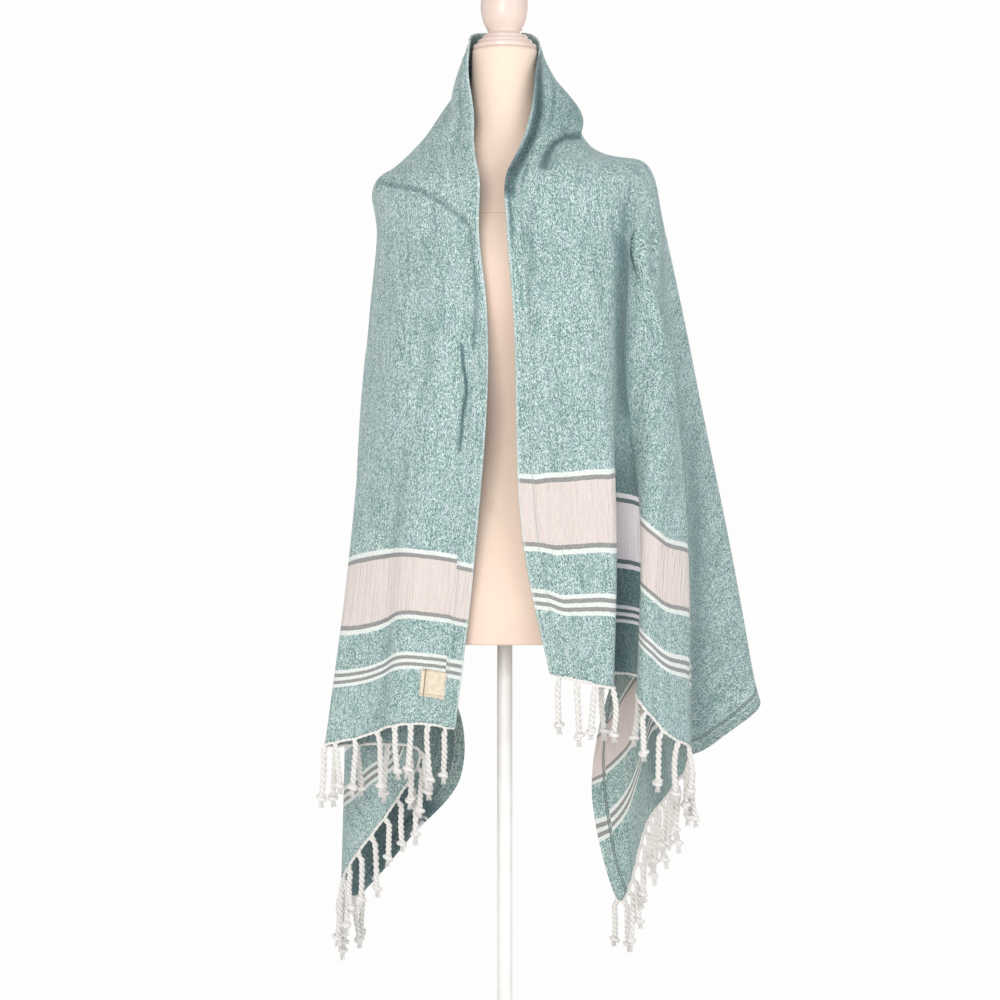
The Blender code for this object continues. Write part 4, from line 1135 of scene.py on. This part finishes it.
def make_form(material):
    """Torso and neck: the form's sections at close heights, with shallow seams in its cover.

    A section is a squarish oval: cosine and sine to a power under 1, times its half width and depth.
    A seam is a dip with a bell-shaped section, at one height, down each side and down the back.
    """
    heights = np.linspace(FORM_BOTTOM, NECK_TOP, FORM_ROWS)
    heights = np.concatenate([[FORM_BOTTOM] * 3, heights, [NECK_TOP] * 2])
    shrink = np.concatenate([[0.02, 0.5, 0.985], np.ones(FORM_ROWS), [0.97, 0.02]])
    heights[2:4] += (0, 0.0015)
    sizes = form_sizes(heights)
    angle = np.linspace(0, TURN, FORM_SIDES, endpoint=False)
    power = 2 / sizes[:, 3:4]
    x = sizes[:, :1] * squared_off(np.cos(angle), power)
    deep = np.where(np.sin(angle) < 0, sizes[:, 1:2], sizes[:, 2:3])
    y = deep * squared_off(np.sin(angle), power)
    seam = np.exp(-(((heights - SEAM_HEIGHT) / SEAM_WIDE[0]) ** 2))[:, None]
    below = (heights < SEAM_HEIGHT)[:, None]
    sides_seam = np.exp(-((np.abs(x) - sizes[:, :1]) / SEAM_WIDE[1]) ** 2) * below
    back_seam = np.exp(-((x / SEAM_WIDE[2]) ** 2)) * (y > 0)
    sunk = seam * SEAM_DEEP[0] + sides_seam * SEAM_DEEP[1] + back_seam * SEAM_DEEP[2]
    depth = 1 - sunk / np.maximum(np.hypot(x, y), 0.01)
    ring = np.stack(np.broadcast_arrays(x * depth, y * depth, heights[:, None]), axis=-1)
    ring[..., :2] *= shrink[:, None, None]
    index = np.arange(len(heights) * FORM_SIDES).reshape(-1, FORM_SIDES)
    faces = [ring_faces(index), index[:1, ::-1], index[-1:]]
    return add_piece("form_cover", ring.reshape(-1, 3), faces, material)


def label_patch(grid, normals, along, across, material):
    """The blank label: a patch of the cloth's own surface moved out, domed, with a folded end.

    Lift is a low dome with a rounded rim, plus a bell-shaped ridge and less a bell-shaped dip where
    the far end is folded under, and a slow ripple.
    """
    rows, columns = LABEL_GRID
    flat_along = np.linspace(*LABEL_ALONG, rows)
    flat_across = np.linspace(*LABEL_ACROSS, columns)
    lean = (flat_across - LABEL_ACROSS[0]) * LABEL_LEAN
    u, v = flat_along[:, None] + lean[None, :], np.broadcast_to(flat_across, (rows, columns))
    i, j = np.interp(u, along, np.arange(len(along))), np.interp(v, across, np.arange(len(across)))
    base, face = read_grid(grid, i, j), unit(read_grid(normals, i, j))
    s, t = np.linspace(0, 1, rows)[:, None], np.linspace(0, 1, columns)[None, :]
    edge = np.minimum(np.minimum(s, 1 - s), np.minimum(t, 1 - t))
    lift = LABEL_LIFT + LABEL_DOME * np.clip(edge / LABEL_RIM, 0, 1) ** 0.5
    ridge, dip = (np.exp(-(((t - at) / half) ** 2)) for at, half in (LABEL_RIDGE, LABEL_DIP))
    lift = lift + LABEL_DOME * ridge - LABEL_DOME * dip
    lift = lift + LABEL_RIPPLE * np.sin(s * 9 + t * 5)
    uv = np.stack(np.broadcast_arrays(u, v), -1)
    points, quads, flat = wall_between(base + face * lift[..., None], base + face * LABEL_UNDER, uv)
    return add_piece("blank_label", points, quads, material, flat)


def make_stage():
    """A wide pale floor that fades into the pale surroundings, which are not part of the object."""
    made, tree, shader = start_material("studio_floor", Roughness=0.85)
    shader.inputs["Base Color"].default_value = FLOOR_COLOUR
    body = add(tree, "TexCoord", out="Object")
    far = add(tree, "VectorMath LENGTH", body)
    glow = add(tree, "Emission", Color=ROOM_COLOUR, Strength=ROOM_SEEN)
    share = add(tree, "MapRange SMOOTHSTEP", far, *FLOOR_FADE)
    mixed = add(tree, "MixShader", share, shader.outputs[0], glow)
    tree.links.new(mixed, tree.nodes["Material Output"].inputs[0])
    wide = FLOOR_REACH
    corners = [(-wide, -wide, 0), (wide, -wide, 0), (wide, wide, 0), (-wide, wide, 0)]
    add_piece("studio_floor", corners, [np.array([[0, 1, 2, 3]])], made, smooth=False)

    world = bpy.data.worlds.new("studio")
    world.use_nodes = True
    tree = world.node_tree
    seen = add(tree, "LightPath", out="Is Camera Ray")
    strength = add(tree, "MapRange", seen, 0, 1, ROOM_LIGHT, ROOM_SEEN)
    tree.links.new(strength, tree.nodes["Background"].inputs["Strength"])
    tint = add(tree, "Mix RGBA", seen, ROOM_SHINE, ROOM_COLOUR)
    tree.links.new(tint, tree.nodes["Background"].inputs["Color"])
    bpy.context.scene.world = world


def make_light(name, place, aim, size, power, colour=LAMP_COLOUR):
    """A square soft box at a place, turned to its aim."""
    lamp = bpy.data.lights.new(name, "AREA")
    lamp.shape, lamp.size, lamp.energy = "SQUARE", size, power
    lamp.color = colour
    obj = bpy.data.objects.new(name, lamp)
    place, aim = np.array(place, float), np.array(aim, float)
    x, y, z = unit(aim - place)
    obj.location = place
    obj.rotation_euler = (math.atan2(math.hypot(x, y), -z), 0, math.atan2(x, -y) + math.pi)
    bpy.context.scene.collection.objects.link(obj)


def make_camera():
    """The photo's own view: level, square to the front, PICTURE_WIDE across on the middle plane."""
    camera = bpy.data.cameras.new("camera")
    camera.sensor_width = 36.0
    camera.lens = camera.sensor_width * EYE_FAR / PICTURE_WIDE
    camera.clip_end = 200
    obj = bpy.data.objects.new("camera", camera)
    obj.location = (EYE_X, -EYE_FAR, EYE_Z)
    obj.rotation_euler = (math.pi / 2, 0, 0)
    bpy.context.scene.collection.objects.link(obj)
    bpy.context.scene.camera = obj


def make_towel():
    """The cloth, its hems, label and fringe, all attached to the root body."""
    towel, yarn, tape = cotton_towel(), cotton_cord(), cotton_tape()
    along, across = spaced(ALONG_SPANS, LENGTH), spaced(ACROSS_SPANS, WIDTH)
    flat_along, flat_across = np.meshgrid(along, across, indexing="ij")
    grid = push_clear(eased(Drape().at(flat_along, flat_across), *EASED_FIRST), CLEARANCE)
    grid, dark = creased(grid, flat_along, flat_across)
    for _ in range(ROUNDS_AFTER):
        grid = push_clear(eased(grid, *EASED_AFTER), CLEARANCE)
    normals = grid_normals(grid)
    reaches = from_edges(grid)
    uv = np.stack([pulled(flat_along, flat_across), laid(flat_across, *reaches)], -1)
    half = WALL / 2
    points, quads, flat = wall_between(grid + normals * half, grid - normals * half, uv)
    cloth = add_piece("towel", points, quads, towel, flat)
    # Painted shade: the creases' darkening on both faces, with more on the inner face, which lies in the
    # wrap's shade
    inner_dark = np.maximum(np.interp(flat_along, INNER_DARK_AT, INNER_DARK), dark)
    inner_dark = np.maximum(crease_field(INNER_SHADES, flat_along, flat_across)[1], inner_dark)
    add_painted_shade(cloth, np.concatenate([dark.ravel(), inner_dark.ravel()]))
    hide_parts("towel_cloth")
    hems = []
    for name, side, node, reach in (("front_hem_fold", 1, "front_hem", reaches[0]),
                                    ("lower_hem_fold", -1, "lower_hem", reaches[1])):
        points, quads, flat, shade_and_worn_tone = hem_band(grid, normals, along, reach, side)
        hems.append(add_piece(name, points, quads, towel, flat))
        add_painted_shade(hems[-1], shade_and_worn_tone)
        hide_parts(node)
    label = label_patch(grid, normals, along, across, tape)
    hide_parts("label")
    left = fringe("left_fringe", grid[0], grid[0] - grid[1], normals[0], across, yarn)
    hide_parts("fringe_left")
    right = fringe("right_fringe", grid[-1], grid[-1] - grid[-2], normals[-1], across, yarn)
    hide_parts("fringe_right")
    for piece, slot in ((cloth, "towel"), (hems[0], "towel"), (hems[1], "towel"), (label, "label"),
                        (left, "fringe"), (right, "fringe")):
        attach(piece, "root")


def make_dress_form():
    """The form's cover, the cap and knob on its neck and the stand below it."""
    jersey = cotton_jersey()
    wood = painted("satin_paint_on_wood", "#DDC8BD", "#D3BBAD", 0.38)
    iron = painted("satin_paint_on_iron", "#EBE9E6", "#E2DFDB", 0.35)
    cover = make_form(jersey)
    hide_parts("form_torso")

    top = NECK_TOP + PIECE_GAP
    cap = rounded([
        (0.0010, top), (0.0395, top), (0.0400, top + 0.0067), (0.0345, top + 0.0070),
        (0.0343, top + 0.0129), (0.0285, top + 0.0132), (0.0283, top + 0.0190), (0.0010, top + 0.0191),
    ], 0.0020)
    plates = lathe("neck_cap", cap, wood)
    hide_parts("cap_lower", "cap_middle", "cap_upper")
    base = NECK_TOP + CAP_HIGH + PIECE_GAP
    knob = np.array([
        (0.0010, 0), (0.0232, 0.0), (0.0226, 0.0012), (0.0205, 0.004), (0.0225, 0.009), (0.0270, 0.018),
        (0.0298, 0.030), (0.0300, 0.042), (0.0280, 0.056), (0.0235, 0.068), (0.0165, 0.077),
        (0.0080, 0.082), (0.0008, 0.0832),
    ])
    steps = np.arange(len(knob), dtype=float)
    fine = np.concatenate([[0], np.linspace(1, len(knob) - 1, 60)])
    turned = smooth_through(steps, knob, fine)
    finial = lathe("finial_knob", turned + (0, base), wood)
    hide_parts("finial")

    foot = lathe("foot_plate", rounded([
        (0.0010, 0), (0.1640, 0), (0.1650, 0.0105), (0.1580, 0.0142), (0.0300, 0.0170), (0.0010, 0.0170),
    ], 0.0040), iron, 128)
    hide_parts("stand_foot")
    stem = lathe("stand_stem", rounded([
        (0.0010, 0.0173), (0.0240, 0.0173), (0.0240, 0.0300), (0.0190, 0.0460), (0.0160, 0.0520),
        (0.0010, 0.0520),
    ], 0.0030), iron)
    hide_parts("stand_collar")
    pole = lathe("pole", rounded([
        (0.0010, 0.0523), (0.0095, 0.0523), (0.0095, 0.7797), (0.0010, 0.7797),
    ], 0.0006), iron, 64)
    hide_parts("stand_pole")
    for piece, slot in ((cover, "jersey"), (plates, "painted_wood"), (finial, "painted_wood"),
                        (foot, "painted_metal"), (stem, "painted_metal"), (pole, "painted_metal")):
        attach(piece, "root")


bpy.context.scene.view_settings.view_transform = "Standard"
make_camera()
make_stage()
make_light("key", (-0.8, -3.4, 1.8), (0, 0, 1.0), 1.7, 79)
make_light("fill", (2.4, -2.4, 1.7), (0, 0, 1.0), 2.6, 33, FILL_COLOUR)
make_light("rim", (0.8, 2.6, 2.4), (0, 0, 1.1), 2.0, 34)
make_dress_form()
make_towel()
